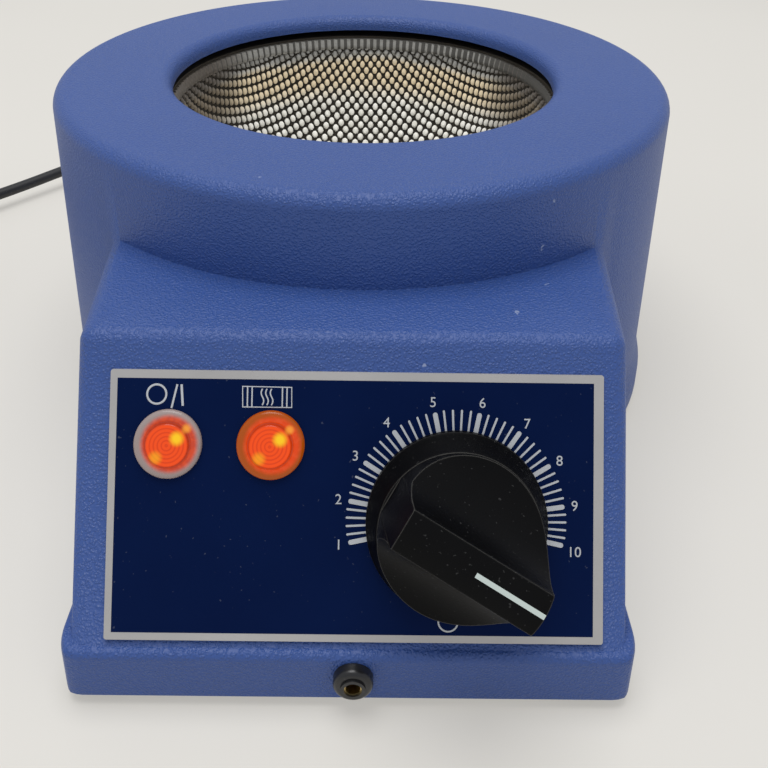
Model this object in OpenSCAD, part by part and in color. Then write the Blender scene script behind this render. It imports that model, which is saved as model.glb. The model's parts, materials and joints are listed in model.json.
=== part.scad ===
// Laboratory heating mantle for a round-bottomed one litre flask.
// The drum stands at the back and the control housing leans against its front.
// Millimetres. +X is to the right, +Y to the back and +Z up. The origin is on the
// surface that the mantle stands on, under the middle of its length.

/* [Case] */
// Outside diameter of the drum
drum_d = 212; // [208:1:220]
// Height of the case above its lower edge
case_h = 108; // [104:1:116]
// Wall of the moulded case
wall = 3; // [2.6:0.1:3.4]
// Radius of the drum's top edge
top_round = 9; // [6:0.5:11]
// Diameter of the mouth in the top
mouth_d = 134.6; // [132:0.2:138]
// Radius of the mouth's upper edge
lip_round = 4.2; // [3.6:0.1:4.4]
// Depth to which the mouth's lip is turned down
lip_depth = 5.7; // [5.2:0.1:6.2]
// How far the skirt stands out at the foot of the drum
skirt_out = 1.9; // [1:0.1:2.5]
// Height of the skirt's upright part
skirt_h = 5; // [3:0.5:7]
// Height at which the skirt meets the wall
skirt_blend_h = 13; // [10:0.5:16]

/* [Control housing] */
// Height of the shelf behind the panel
shelf_h = 81; // [79:0.5:84]
// Distance from the drum's axis to the crease above the panel
crease_reach = 126.2; // [122:0.2:130]
// Angle of the panel, leaning back from upright
panel_tilt = 25.7; // [22:0.1:27]
// Width of the housing at the panel
housing_w = 134.6; // [130:0.2:140]
// Widening of each side for every millimetre towards the drum
side_flare = 0.096; // [0.05:0.002:0.12]
// Radius of the housing's edges
edge_round = 4.5; // [4:0.1:6]
// Height of the plinth below the panel
plinth_h = 14; // [13:0.2:15]
// Depth of the ledge between the panel and the plinth's front
ledge = 2.3; // [2:0.1:3]
// How far the plinth stands out at each side
plinth_out = 5.4; // [4:0.1:7]
// Radius of the plinth's upright corners
plinth_corner = 8.5; // [7:0.1:10]
// Radius of the plinth's upper edge
plinth_edge = 2; // [1:0.1:2.6]

/* [Heated bowl] */
// Radius of the bowl's inner face
bowl_r = 66.5; // [65.5:0.1:66.9]
// Depth of the bowl's centre below the top of the case
bowl_drop = 16; // [14:0.5:18]
// Thickness of the woven wire screen
screen_t = 1.3; // [1.2:0.1:1.8]
// Height of the screen's wires above the ground of its weave
wire_rise = 0.9; // [0.5:0.05:1]
// Meshes in one round of the screen
mesh_around = 54; // [40:2:66]
// Rounds of mesh from the bottom of the bowl to its rim
mesh_rows = 22; // [16:2:26]
// Thickness of the knitted glass cloth
cloth_t = 3.5; // [3:0.1:4]
// Thickness of the cloth's turned-out rim
cloth_rim_t = 2.5; // [2:0.1:3]
// Space between the pan and the drum's wall, for the leads
pan_space = 20; // [18:0.5:22]
// Sheet of the pan
pan_t = 1; // [0.8:0.1:1.2]
// Height of the pan's floor above the base plate
pan_clear = 8; // [6:0.5:9]
// Width of the pan's flange
pan_flange = 9; // [8:0.2:10]
// Depth of the clamp ring's upper face below the top of the case
ring_drop = 8.5; // [7.5:0.1:9.5]
// Sheet of the clamp ring
ring_t = 1; // [0.8:0.1:1.5]
// How far the clamp ring's inner edge lies back from the mouth
ring_back = 0.9; // [0.5:0.1:1.2]
// Number of ring screws
ring_screws_n = 4; // [3:1:6]
// Diameter of a ring screw
ring_screw_d = 3; // [2.5:0.1:3.5]
// Diameter of their heads
ring_head_d = 5.4; // [5:0.1:6]
// Height of their heads
ring_head_h = 2; // [1.8:0.1:2.4]
// How far they reach into the case's bosses
ring_screw_grip = 3.5; // [3:0.1:4]

/* [Base] */
// Height of the case's lower edge above the table
foot_h = 3.5; // [3:0.1:5]
// Depth of the base plate inside the case's lower edge
base_inset = 2; // [1.5:0.1:3]
// Sheet of the base plate
base_t = 1.5; // [1:0.1:2]
// Diameter of a rubber foot
foot_d = 14; // [12:0.5:15]
// Diameter of a base screw
base_screw_d = 3.5; // [3:0.1:4]
// Diameter of a base screw's head
base_head_d = 6.6; // [6:0.1:7]
// Thickness of a base screw's head
base_head_h = 1.8; // [1.5:0.1:2.2]
// Diameter of the bosses that take the base screws
boss_d = 9; // [8:0.2:10]
// Height of the bosses above the base plate
boss_h = 11; // [9:0.5:12]
// Distance of a boss's middle from the wall's inner face
boss_inset = 9.5; // [8:0.5:12]
// Thickness of the rib that joins a boss to the wall
rib_t = 2; // [1.5:0.1:2.5]
// Bearing of the rear bosses, measured from straight back
boss_bearing = 45; // [35:1:52]
// Length of a vent slot in the base plate
vent_l = 26; // [18:1:32]
// Width of a vent slot
vent_w = 4; // [3:0.5:5]
// Vent slots in the round
vents_n = 10; // [6:1:14]
// Distance of their middles from the drum's axis
vent_reach = 45; // [38:1:52]

/* [Panel] */
// Width of the panel's label
label_w = 119; // [112:0.5:121]
// Height of the label along the slope
label_h = 63.7; // [60:0.1:65]
// Thickness of the label
label_t = 0.6; // [0.4:0.1:0.8]
// Distance of the label's middle to the right of the mantle's middle
label_shift = 1.2; // [-1:0.1:2]
// Distance from the crease down the slope to the label
label_top = 8.9; // [8:0.1:10]
// Distance of the dial's centre to the right of the mantle's middle
dial_u = 25.3; // [22:0.1:28]
// Distance from the crease down the slope to the dial's centre
dial_v = 44; // [42:0.1:46]
// Distance of the mains lamp to the left of the mantle's middle
mains_lamp_u = 44.1; // [42:0.1:46]
// Distance of the heat lamp to the left of the mantle's middle
heat_lamp_u = 19.5; // [18:0.1:21]
// Distance from the crease down the slope to the lamps
lamp_v = 26.4; // [25:0.1:28]

/* [Lamps] */
// Diameter of a lamp's flange
lamp_d = 16.5; // [15:0.1:18]
// Thickness of the flange
lamp_flange_t = 1.3; // [1:0.1:1.6]
// Diameter of the ribbed window in the lens
window_d = 10.4; // [9.6:0.1:10.8]
// Rise of the window above the flange
window_rise = 0.8; // [0.4:0.1:1.2]
// Diameter of a lamp's body
lamp_body_d = 12.8; // [12:0.1:13.6]
// Depth of a lamp's body behind the label
lamp_depth = 18; // [14:0.5:20]
// Wall of a lamp's body
lamp_wall = 1.1; // [0.9:0.1:1.3]
// Diameter of the neon tube
neon_d = 5.4; // [4.5:0.1:6]
// Length of the neon tube
neon_l = 11; // [8:0.5:12]

/* [Regulator and knob] */
// Width of the energy regulator
regulator_w = 38; // [32:0.5:40]
// Height of the energy regulator
regulator_h = 36; // [32:0.5:38]
// Depth of the energy regulator behind the panel
regulator_depth = 28; // [24:0.5:30]
// Distance between the columns of its tabs
tab_pitch = 20; // [18:0.5:22]
// Distance between the rows of its tabs
tab_rise = 14; // [12:0.5:16]
// Length of a tab
tab_l = 5; // [4.5:0.1:6.5]
// Diameter of the regulator's threaded bush
bush_d = 10; // [9:0.5:10]
// Width across the flats of the bush's nut
nut_af = 14; // [13:0.5:15]
// Thickness of the nut
nut_h = 2.2; // [2:0.1:2.6]
// Diameter of the spindle
spindle_d = 6; // [5:0.5:6.5]
// Depth of the flat on the spindle
spindle_flat = 1; // [0.5:0.1:1.5]
// Depth of the spindle's seat inside the regulator
spindle_seat = 10; // [8:0.5:14]
// Diameter of the knob's skirt
knob_d = 44.8; // [42:0.2:46]
// Gap between the knob and the label
knob_gap = 0.6; // [0.4:0.1:1]
// Height of the knob's rim below its finger recesses
knob_rim_h = 10.5; // [9:0.1:11.5]
// Diameter of the knob above the rim
knob_grip_d = 38; // [36:0.2:39]
// Height of the knob's top above the panel
knob_h = 28.5; // [27:0.1:31]
// Width of the knob's grip
grip_w = 9.8; // [9:0.1:11]
// Radius of the finger recess on each side of the grip
recess_r = 16; // [15:0.5:17]
// Reach of the grip's tail behind the spindle
tail_reach = 16; // [14:0.5:17]
// Width of the white pointer
pointer_w = 1.1; // [0.8:0.1:1.4]
// Distance of the pointer's inner end from the spindle
pointer_start = 2; // [1:0.5:4]
// Direction in which the pointer is set, from the right
pointer_angle = -30.6; // [-32:0.1:-28]

/* [Jack socket] */
// Distance of the socket to the right of the mantle's middle
jack_x = 1.2; // [-2:0.1:4]
// Height of the socket's middle above the case's lower edge
jack_h = 7.2; // [7.1:0.1:7.8]
// Diameter of the plug that the socket takes
jack_plug_d = 3.5; // [3.5:0.1:3.6]
// Diameter of the socket's nose
jack_nose_d = 6; // [5.6:0.1:6.4]
// How far the nose stands out of the plinth
jack_nose_out = 3.5; // [3:0.1:4]
// Diameter of the socket's body
jack_body_d = 6.6; // [6.4:0.1:6.8]
// Length of the socket's body
jack_body_l = 14; // [11:0.5:16]
// Diameter of the round nut outside
jack_nut_d = 9.6; // [9:0.1:10.4]
// Thickness of the round nut
jack_nut_h = 3; // [2.6:0.1:3]

/* [Mains lead] */
// Diameter of the cord
cord_d = 5.5; // [5.5:0.1:5.5]
// Height of the cord's exit above the case's lower edge
exit_h = 22; // [22:0.1:22]
// Diameter of the strain relief's flange
relief_flange_d = 16; // [14:0.5:17]
// Thickness of the flange
relief_flange_t = 2.5; // [2:0.1:3]
// Diameter of the strain relief's neck in the wall
relief_neck_d = 12; // [11:0.2:13]
// Length of the tapered sleeve
relief_l = 30; // [28:0.5:34]
// Diameter at the sleeve's thin end
relief_tip_d = 7.6; // [7.2:0.1:8.4]
// Grooves round the sleeve
relief_grooves = 5; // [3:1:6]
// Middle radius of the coil's turns
coil_r = 30; // [30:0.5:30]
// Turns side by side in one layer of the coil
coil_wide = 3; // [3:1:3]
// Layers of the coil
coil_layers = 2; // [2:1:2]
// Width of the tie round the coil
tie_w = 12; // [8:0.5:16]
// Thickness of the tie
tie_t = 0.5; // [0.4:0.1:0.6]

/* [Plug] */
// Width of the plug
plug_w = 49; // [46:0.5:52]
// Length of the plug from its cord end to its far edge
plug_l = 46; // [44:0.5:50]
// Depth of the plug behind its pin face
plug_t = 19; // [17:0.5:21]
// Width of the plug at its cord end
plug_neck_w = 26; // [22:0.5:30]
// Radius of the plug's corners
plug_corner = 6; // [4:0.5:7]
// Distance between the line and neutral pins
pin_pitch = 22.2; // [22.2:0.1:22.2]
// Distance from their line to the earth pin
pin_setback = 22.2; // [22.2:0.1:22.2]
// Length of the line and neutral pins
pin_l = 17.7; // [17:0.1:18]
// Length of the earth pin
earth_pin_l = 22.7; // [22:0.1:23]

/* [Fits] */
// Gap round parts that drop into place
drop_fit = 0.3; // [0.2:0.05:0.5]
// Gap between a part and the wall that it bears on
bear_gap = 0.02; // [0.01:0.01:0.05]
// Radial gap of the running spindle
run_gap = 0.05; // [0.02:0.01:0.1]
// Gap between the screen and the cloth
screen_gap = 0.1; // [0.05:0.05:0.3]

/* [Hidden] */

$fn = 96;
cut = 1;            // how far a cutting shape runs past what it cuts
hull_fn = 32;       // facets of a round that goes into a hull
drum_r = drum_d / 2;
mouth_r = mouth_d / 2;
knob_r = knob_d / 2;
cord_r = cord_d / 2;

// Panel
crease_y = -crease_reach;
slope_run = (shelf_h - plinth_h) * tan(panel_tilt);
plinth_front = crease_reach + slope_run + ledge;
plinth_half = housing_w / 2 + plinth_out;
housing_back = 60;   // distance in front of the axis at which the housing ends inside the drum
plinth_inside = plinth_half - wall;

// Heights above the case's lower edge
base_top = base_inset + base_t;
ceiling = case_h - wall;
ring_top = case_h - ring_drop;
ring_low = ring_top - ring_t;
pan_top = ring_low;
cloth_rim_low = pan_top - cloth_rim_t;
pan_floor = base_top + pan_clear;
bowl_h = case_h - bowl_drop;

// Radii in the heated bowl
pan_r = drum_r - wall - pan_space;
ring_in_r = mouth_r + ring_back;
screen_rim_r = ring_in_r + 0.6;
cloth_in_r = bowl_r + screen_t + screen_gap;
cloth_out_r = cloth_in_r + cloth_t;
cloth_rim_in_r = screen_rim_r + screen_t + screen_gap;
pan_out_r = pan_r + pan_t;
flange_r = pan_out_r + pan_flange;
ring_screw_r = pan_out_r + pan_flange / 2;
ring_boss_r = 3.2;

// Screws of the base
rear_boss_at = drum_r - wall - boss_inset;
front_boss_x = plinth_inside - boss_inset;
front_boss_y = -(plinth_front - wall - boss_inset);
boss_places = [
  [rear_boss_at * sin(boss_bearing), rear_boss_at * cos(boss_bearing)],
  [-rear_boss_at * sin(boss_bearing), rear_boss_at * cos(boss_bearing)],
  [front_boss_x, front_boss_y],
  [-front_boss_x, front_boss_y]
];
rib_bearings = [90 - boss_bearing, 90 + boss_bearing, 0, 180];
rib_h = boss_h - 3;
screw_reach = base_top + boss_h - 3;

// Panel parts, heights above the panel's face
lamp_body_r = lamp_body_d / 2;
lamp_hole_r = lamp_body_r + 0.1;
lamp_bore_r = lamp_body_r - lamp_wall;
lamp_floor = label_t - lamp_depth;
knob_low = label_t + knob_gap;
bush_top = label_t + nut_h + 0.8;
knob_hollow = bush_top + 0.7;
spindle_top = knob_h - 8;
regulator_low = -wall - regulator_depth;

// Jack socket
jack_y = -plinth_front;
jack_bore_r = jack_plug_d / 2 + run_gap;
liner_out_r = jack_bore_r + 0.35;
liner_l = 5;

// Rear outlet
relief_y = drum_r;
relief_reach = relief_y + relief_flange_t + relief_l;
neck_inner_y = drum_r - wall - 3;

// The knob's grip reaches furthest forward, with its upper edge's lowest corner
grip_r = knob_grip_d / 2;
grip_corner = sqrt(grip_r * grip_r - grip_w * grip_w / 4) * sin(-pointer_angle) + grip_w / 2 * cos(pointer_angle);
knob_front = crease_reach + (dial_v + grip_corner) * sin(panel_tilt) + knob_h * cos(panel_tilt);

// The frame: the drum's axis is moved back so that the origin lies at mid length
axis_y = (knob_front - relief_reach) / 2;

// Wiring inside
wiring_r = (pan_out_r + drum_r - wall) / 2;
block_w = 30;
block_d = 18;
block_h = 14;
block_at = [-45, -108];
bush_at = pan_floor + 18;
stud_at = [-12, -104];

// Cord's route, its points from the drum's axis and the table
cord_route = [
  [0, relief_reach, exit_h + foot_h], [0, 152, 25.3], [-2, 167, 24.5], [-9, 183, 23],
  [-23, 196, 21], [-42, 203, 19], [-62, 203.5, 17], [-82, 197, 15], [-101, 186, 13.2],
  [-119, 172, 11.8], [-135, 156.5, 10.6], [-149, 141, 9.8], [-161.5, 127, 9.2],
  [-173, 113.5, 8.6], [-184, 100.5, 8.4], [-191, 92, 8.6], [-196, 85, 8.7]
];
coil_at = [-236.5, 88];
tail_route = [
  [-201, 68, 3.3], [-201, 62, 3.7], [-201, 55.5, 5.2], [-201, 49.5, 7.4], [-201, 44.5, 9.1], [-201, 41, 9.5],
  [-201, 38, 9.5]
];
plug_at = [-201, 38];

function on_axis(p) = [p[0], p[1] + axis_y, p[2]];

// ---- Shared shapes ----

// Puts what is drawn about the drum's axis, above the case's lower edge, in its place
module in_case() {
  translate([0, axis_y, foot_h]) children();
}

// Puts what is drawn about the drum's axis, above the table, in its place
module on_table() {
  translate([0, axis_y, 0]) children();
}

// Local z points straight out of the panel and local y up its slope
module on_panel(u, v) {
  in_case()
    translate([u, crease_y - v * sin(panel_tilt), shelf_h - v * cos(panel_tilt)])
      rotate([90 - panel_tilt, 0, 0]) children();
}

// Square whose corner away from the origin is rounded
module rounded_square(w, h, r) {
  square([w - r, h]);
  square([w, h - r]);
  translate([w - r, h - r]) circle(r);
}

// Half section of a ring, rounded at both upper corners
module ring_section(r_in, r_out, h, round_in, round_out) {
  translate([r_in + round_in, 0]) square([r_out - r_in - round_in - round_out, h]);
  translate([r_in, 0]) square([2 * round_in, h - round_in]);
  translate([r_in + round_in, h - round_in]) circle(round_in);
  translate([r_out - 2 * round_out, 0]) square([2 * round_out, h - round_out]);
  translate([r_out - round_out, h - round_out]) circle(round_out);
}

// Rectangle about the origin with rounded corners
module rounded_plate(w, h, r) {
  square([w - 2 * r, h], center = true);
  square([w, h - 2 * r], center = true);
  for (x = [-1, 1], y = [-1, 1]) {
    translate([x * (w / 2 - r), y * (h / 2 - r)]) circle(r);
  }
}

// Pan-head screw standing on z = 0 with its shank going up
module screw(head_d, head_h, shank_d, reach) {
  translate([0, 0, -head_h]) cylinder(d = head_d, h = head_h);
  cylinder(d = shank_d, h = reach);
}

// ---- Swept cord ----

// Point at share t between points b and c of a smooth curve through a, b, c and d
function smooth(a, b, c, d, t) =
  0.5 * (2 * b + (c - a) * t + (2 * a - 5 * b + 4 * c - d) * t * t
    + (3 * b - a - 3 * c + d) * t * t * t);

// Route with extra points between the chosen ones
function finer(route, steps) = let (last = len(route) - 1) [
  for (i = [0 : last - 1], k = [0 : steps - 1])
    smooth(route[max(i - 1, 0)], route[i], route[i + 1], route[min(i + 2, last)], k / steps),
  route[last]
];

function unit(v) = v / norm(v);

// Tube of radius r round a route, as one closed skin
module swept_tube(route, r, sides) {
  last = len(route) - 1;
  rings = [
    for (i = [0 : last])
      let (along = unit(route[min(i + 1, last)] - route[max(i - 1, 0)]),
           across = unit(cross([0, 0, 1], along)),
           up = cross(along, across))
        [for (k = [0 : sides - 1]) let (a = 360 * k / sides) route[i] + r * (cos(a) * across + sin(a) * up)]
  ];
  points = [for (ring = rings) each ring];
  side_faces = [
    for (i = [0 : last - 1], k = [0 : sides - 1])
      let (n = (k + 1) % sides)
        each [[i * sides + k, (i + 1) * sides + k, (i + 1) * sides + n],
              [i * sides + k, (i + 1) * sides + n, i * sides + n]]
  ];
  end_faces = [
    [for (k = [0 : sides - 1]) k],
    [for (k = [sides - 1 : -1 : 0]) last * sides + k]
  ];
  polyhedron(points, concat(side_faces, end_faces), convexity = 4);
}

// Thin round lead through the given points
module lead(points, d) {
  swept_tube(points, d / 2, 8);
}

// ---- Outer case ----

module drum_solid() {
  rotate_extrude($fn = 180) {
    ring_section(mouth_r, drum_r, case_h, lip_round, top_round);
    polygon([[drum_r - wall, 0], [drum_r + skirt_out, 0], [drum_r + skirt_out, skirt_h],
             [drum_r, skirt_blend_h], [drum_r - wall, skirt_blend_h]]);
  }
}

// What the drum's walls leave free, without the turned-down lip
module drum_hollow() {
  rotate_extrude($fn = 180) {
    translate([0, -cut])
      ring_section(mouth_r + wall, drum_r - wall, ceiling + cut, lip_round - wall, top_round - wall);
    translate([0, -cut]) square([mouth_r + wall + lip_round, case_h - lip_depth + cut]);
  }
}

// Wedge of the control housing: its skin lies r outside the corner balls' centres
module housing_form(r) {
  centre_x = housing_w / 2 - edge_round;
  back_x = centre_x + side_flare * (crease_reach - housing_back);
  top_z = shelf_h - edge_round;
  low_z = plinth_h - edge_round * sin(panel_tilt) - 0.3;
  // the crease ball touches both the shelf and the panel
  top_y = crease_y + edge_round * tan((90 - panel_tilt) / 2);
  low_y = top_y - (top_z - low_z) * tan(panel_tilt);
  hull() {
    for (side = [-1, 1]) {
      translate([side * centre_x, top_y, top_z]) sphere(r, $fn = hull_fn);
      translate([side * centre_x, low_y, low_z]) sphere(r, $fn = hull_fn);
      translate([side * back_x, -housing_back, top_z]) sphere(r, $fn = hull_fn);
      translate([side * back_x, -housing_back, low_z]) sphere(r, $fn = hull_fn);
    }
  }
}

module plinth_form(inset, low, high, edge) {
  hull() {
    for (side = [-1, 1], y = [-plinth_front + plinth_corner, -housing_back]) {
      translate([side * (plinth_half - plinth_corner), y, low])
        rotate_extrude($fn = hull_fn) rounded_square(plinth_corner - inset, high - low, edge);
    }
  }
}

module ring_screw_places() {
  for (i = [0 : ring_screws_n - 1]) {
    rotate([0, 0, 45 + 360 * i / ring_screws_n]) translate([ring_screw_r, 0, 0]) children();
  }
}

module case_bosses() {
  for (i = [0 : 3]) translate([boss_places[i][0], boss_places[i][1], base_top]) {
    cylinder(d = boss_d, h = boss_h);
    rotate([0, 0, rib_bearings[i]]) translate([0, -rib_t / 2, 0]) cube([boss_inset + 0.5, rib_t, rib_h]);
  }
  ring_screw_places() translate([0, 0, ring_top]) cylinder(r = ring_boss_r, h = ceiling - ring_top + 0.5);
}

module outer_case() {
  color("royalblue") {
    difference() {
      union() {
        difference() {
          union() {
            in_case() drum_solid();
            in_case() housing_form(edge_round);
            in_case() plinth_form(0, 0, plinth_h, plinth_edge);
          }
          in_case() drum_hollow();
          in_case() housing_form(edge_round - wall);
          in_case() plinth_form(wall, -cut, plinth_h - wall, 0.5);
        }
        in_case() case_bosses();
      }
      in_case() for (p = boss_places) {
        translate([p[0], p[1], 0]) cylinder(d = base_screw_d, h = screw_reach + 0.5);
      }
      in_case() ring_screw_places() cylinder(d = ring_screw_d, h = ring_top + ring_screw_grip + 0.5);
      on_panel(-mains_lamp_u, lamp_v) translate([0, 0, -2 * wall]) cylinder(r = lamp_hole_r, h = 3 * wall);
      on_panel(-heat_lamp_u, lamp_v) translate([0, 0, -2 * wall]) cylinder(r = lamp_hole_r, h = 3 * wall);
      on_panel(dial_u, dial_v) translate([0, 0, -2 * wall]) cylinder(d = bush_d, h = 3 * wall);
      in_case() translate([jack_x, jack_y - cut, jack_h]) rotate([-90, 0, 0])
        cylinder(d = jack_nose_d, h = wall + 2 * cut);
      in_case() translate([0, drum_r - 2 * wall, exit_h]) rotate([-90, 0, 0])
        cylinder(d = relief_neck_d, h = 3 * wall);
    }
  }
}

// ---- Base ----

module plate_outline() {
  circle(r = drum_r - wall - drop_fit, $fn = 180);
  depth = plinth_front - wall - drop_fit - housing_back;
  translate([0, -housing_back - depth / 2])
    rounded_plate(2 * (plinth_inside - drop_fit), depth, plinth_corner - wall - drop_fit);
}

module vent_slots() {
  for (i = [0 : vents_n - 1]) {
    rotate(360 * i / vents_n) translate([vent_reach, 0]) rounded_plate(vent_l, vent_w, vent_w / 2 - 0.01);
  }
}

module base_plate() {
  color("silver") in_case() translate([0, 0, base_inset]) linear_extrude(base_t) {
    difference() {
      plate_outline();
      vent_slots();
      for (p = boss_places) translate(p) circle(d = base_screw_d);
    }
  }
}

module rubber_feet() {
  color([0.08, 0.08, 0.08]) in_case() for (p = boss_places) {
    translate([p[0], p[1], -foot_h]) difference() {
      rotate_extrude() {
        translate([0, foot_h + base_inset]) mirror([0, 1])
          rounded_square(foot_d / 2, foot_h + base_inset, 1);
      }
      translate([0, 0, -cut]) cylinder(d = base_head_d + 2 * drop_fit, h = base_head_h + 0.7 + cut);
      cylinder(d = base_screw_d, h = foot_h + base_inset + cut);
    }
  }
}

module base_screws() {
  color("silver") in_case() for (p = boss_places) {
    seat = -foot_h + base_head_h + 0.7;
    translate([p[0], p[1], seat]) screw(base_head_d, base_head_h, base_screw_d, screw_reach - seat);
  }
}

// ---- Heated bowl ----

// Length of the screen's line from the bottom of the bowl to its rim
screen_curve = bowl_r * PI / 2;
screen_flare = norm([screen_rim_r - bowl_r, ring_low - bowl_h]);

// Point of the screen's section at distance s from the bottom, sunk by depth from its inner face
function screen_point(s, depth) =
  s < screen_curve
    ? let (a = 90 * s / screen_curve) [(bowl_r + depth) * sin(a), bowl_h - (bowl_r + depth) * cos(a)]
    : let (share = (s - screen_curve) / screen_flare)
        [bowl_r + depth + share * (screen_rim_r - bowl_r), bowl_h + share * (ring_low - bowl_h)];

function turned(p, a) = [p[0] * cos(a), p[0] * sin(a), p[1]];

module mesh_screen() {
  n = mesh_around;
  rows = mesh_rows;
  first_s = 4;
  row_s = [for (j = [0 : rows]) first_s + (screen_curve + screen_flare - first_s) * j / rows];
  // the back is plainer: rows up to the bowl's middle, and one at the rim
  back_rows = 9;
  back_s = [
    for (j = [0 : back_rows - 1]) first_s + (screen_curve - first_s) * j / (back_rows - 1),
    screen_curve + screen_flare
  ];
  step = 360 / n;
  // wires cross at the knots, and every mesh is sunk at its middle
  knots = [
    for (j = [0 : rows], i = [0 : n - 1]) turned(screen_point(row_s[j], 0), (i + (j % 2) / 2) * step)
  ];
  grounds = [
    for (j = [1 : rows - 1], i = [0 : n - 1])
      turned(screen_point(row_s[j], wire_rise), (i + 0.5 + (j % 2) / 2) * step)
  ];
  backs = [
    for (j = [0 : back_rows], i = [0 : n - 1])
      turned(screen_point(back_s[j], screen_t), (i + (rows % 2) / 2) * step)
  ];
  ground_at = len(knots);
  back_at = ground_at + len(grounds);
  pole_at = back_at + len(backs);
  poles = [turned(screen_point(0, 0), 0), turned(screen_point(0, screen_t), 0)];
  function knot(j, i) = j * n + (i + n) % n;
  function ground(j, i) = ground_at + (j - 1) * n + (i + n) % n;
  function back(j, i) = back_at + j * n + (i + n) % n;
  // the neighbour in an odd row lies half a mesh further on
  mesh_faces = [
    for (j = [1 : rows - 1], i = [0 : n - 1])
      let (k = i + j % 2, g = ground(j, i))
        each [[g, knot(j, i), knot(j - 1, k)], [g, knot(j - 1, k), knot(j, i + 1)],
              [g, knot(j, i + 1), knot(j + 1, k)], [g, knot(j + 1, k), knot(j, i)]]
  ];
  edge_faces = [
    for (i = [0 : n - 1])
      each [[knot(0, i), knot(0, i + 1), knot(1, i)],
            [knot(0, i + 1), knot(0, i), pole_at],
            [knot(rows, i + 1), knot(rows, i), knot(rows - 1, i + rows % 2)],
            [knot(rows, i), knot(rows, i + 1), back(back_rows, i + 1)],
            [knot(rows, i), back(back_rows, i + 1), back(back_rows, i)],
            [back(0, i), back(0, i + 1), pole_at + 1]]
  ];
  back_faces = [
    for (j = [0 : back_rows - 1], i = [0 : n - 1])
      each [[back(j, i), back(j + 1, i), back(j + 1, i + 1)], [back(j, i), back(j + 1, i + 1), back(j, i + 1)]]
  ];
  color("lightgray") in_case()
    polyhedron(concat(knots, grounds, backs, poles), concat(mesh_faces, edge_faces, back_faces), convexity = 4);
}

// Half section of everything inside the cloth's inner face
module cloth_cavity_section() {
  intersection() {
    translate([0, bowl_h]) circle(cloth_in_r, $fn = 180);
    square([cloth_in_r + cut, bowl_h]);
  }
  polygon([[0, bowl_h], [cloth_in_r, bowl_h], [cloth_rim_in_r, ring_low], [cloth_rim_in_r, ring_low + cut],
           [0, ring_low + cut]]);
}

// Half section of everything inside the cloth's outer face
module cloth_outer_section() {
  intersection() {
    translate([0, bowl_h]) circle(cloth_out_r, $fn = 180);
    square([cloth_out_r + cut, bowl_h]);
  }
  translate([0, bowl_h]) square([cloth_out_r, cloth_rim_low - bowl_h]);
}

module element_bowl() {
  color("ivory") in_case() rotate_extrude($fn = 180) {
    difference() {
      union() {
        cloth_outer_section();
        translate([0, cloth_rim_low]) square([pan_r - drop_fit, cloth_rim_t]);
      }
      cloth_cavity_section();
    }
  }
}

module insulation() {
  color("khaki") in_case() difference() {
    rotate_extrude($fn = 180) {
      difference() {
        translate([0, pan_floor + pan_t]) square([pan_r, cloth_rim_low - pan_floor - pan_t]);
        cloth_outer_section();
      }
    }
  }
}

module heat_pan() {
  color("gainsboro") in_case() difference() {
    rotate_extrude($fn = 180) {
      difference() {
        translate([0, pan_floor]) square([pan_out_r, pan_top - pan_floor]);
        translate([0, pan_floor + pan_t]) square([pan_r, pan_top - pan_floor]);
      }
      translate([pan_r, pan_top - pan_t]) square([flange_r - pan_r, pan_t]);
    }
    ring_screw_places() cylinder(d = ring_screw_d, h = case_h);
    translate([0, -pan_r, bush_at]) rotate([90, 0, 0]) cylinder(d = 8, h = 2 * cut + pan_t, center = true);
  }
}

module clamp_ring() {
  color("silver") in_case() difference() {
    translate([0, 0, ring_low]) linear_extrude(ring_t) difference() {
      circle(flange_r, $fn = 180);
      circle(ring_in_r, $fn = 180);
    }
    ring_screw_places() cylinder(d = ring_screw_d, h = case_h);
  }
}

module ring_screws() {
  color("silver") in_case() ring_screw_places()
    translate([0, 0, pan_top - pan_t])
      screw(ring_head_d, ring_head_h, ring_screw_d, ring_top + ring_screw_grip - pan_top + pan_t);
}

module lead_bush() {
  color("white") in_case() translate([0, -pan_r, bush_at]) rotate([90, 0, 0]) difference() {
    union() {
      cylinder(d = 8, h = pan_t + 4);
      translate([0, 0, pan_t + 0.15]) cylinder(d = 12, h = 3);
    }
    for (side = [-1, 1]) translate([side * 2, 0, -cut]) cylinder(d = 2.4, h = pan_t + 4 + 2 * cut);
  }
}

// Place of a regulator tab's root: side is -1 or 1, row is 0 for supply and 1 for load
function tab_at(side, row) =
  let (u = dial_u + side * tab_pitch / 2, lift = (row - 0.5) * tab_rise, depth = wall + regulator_depth + tab_l)
    [u,
     crease_y - (dial_v - lift) * sin(panel_tilt) + depth * cos(panel_tilt),
     shelf_h - (dial_v - lift) * cos(panel_tilt) - depth * sin(panel_tilt)];

// A lead's first stretch, straight off the end of a tab
off_tab = 4 * [0, cos(panel_tilt), -sin(panel_tilt)];

module element_leads() {
  color("ivory") in_case() for (side = [-1, 1]) {
    end = tab_at(side, 1);
    lead([end, end + off_tab, [side * 2, -pan_out_r - 9, bush_at], [side * 2, -pan_r, bush_at]], 2.4);
  }
}

// ---- Panel ----

module panel_label() {
  color("midnightblue") difference() {
    on_panel(label_shift, label_top + label_h / 2)
      linear_extrude(label_t) rounded_plate(label_w, label_h, 0.6);
    on_panel(-mains_lamp_u, lamp_v) translate([0, 0, -cut]) cylinder(r = lamp_hole_r, h = 3);
    on_panel(-heat_lamp_u, lamp_v) translate([0, 0, -cut]) cylinder(r = lamp_hole_r, h = 3);
    on_panel(dial_u, dial_v) translate([0, 0, -cut]) cylinder(d = bush_d, h = 3);
  }
}

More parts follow.
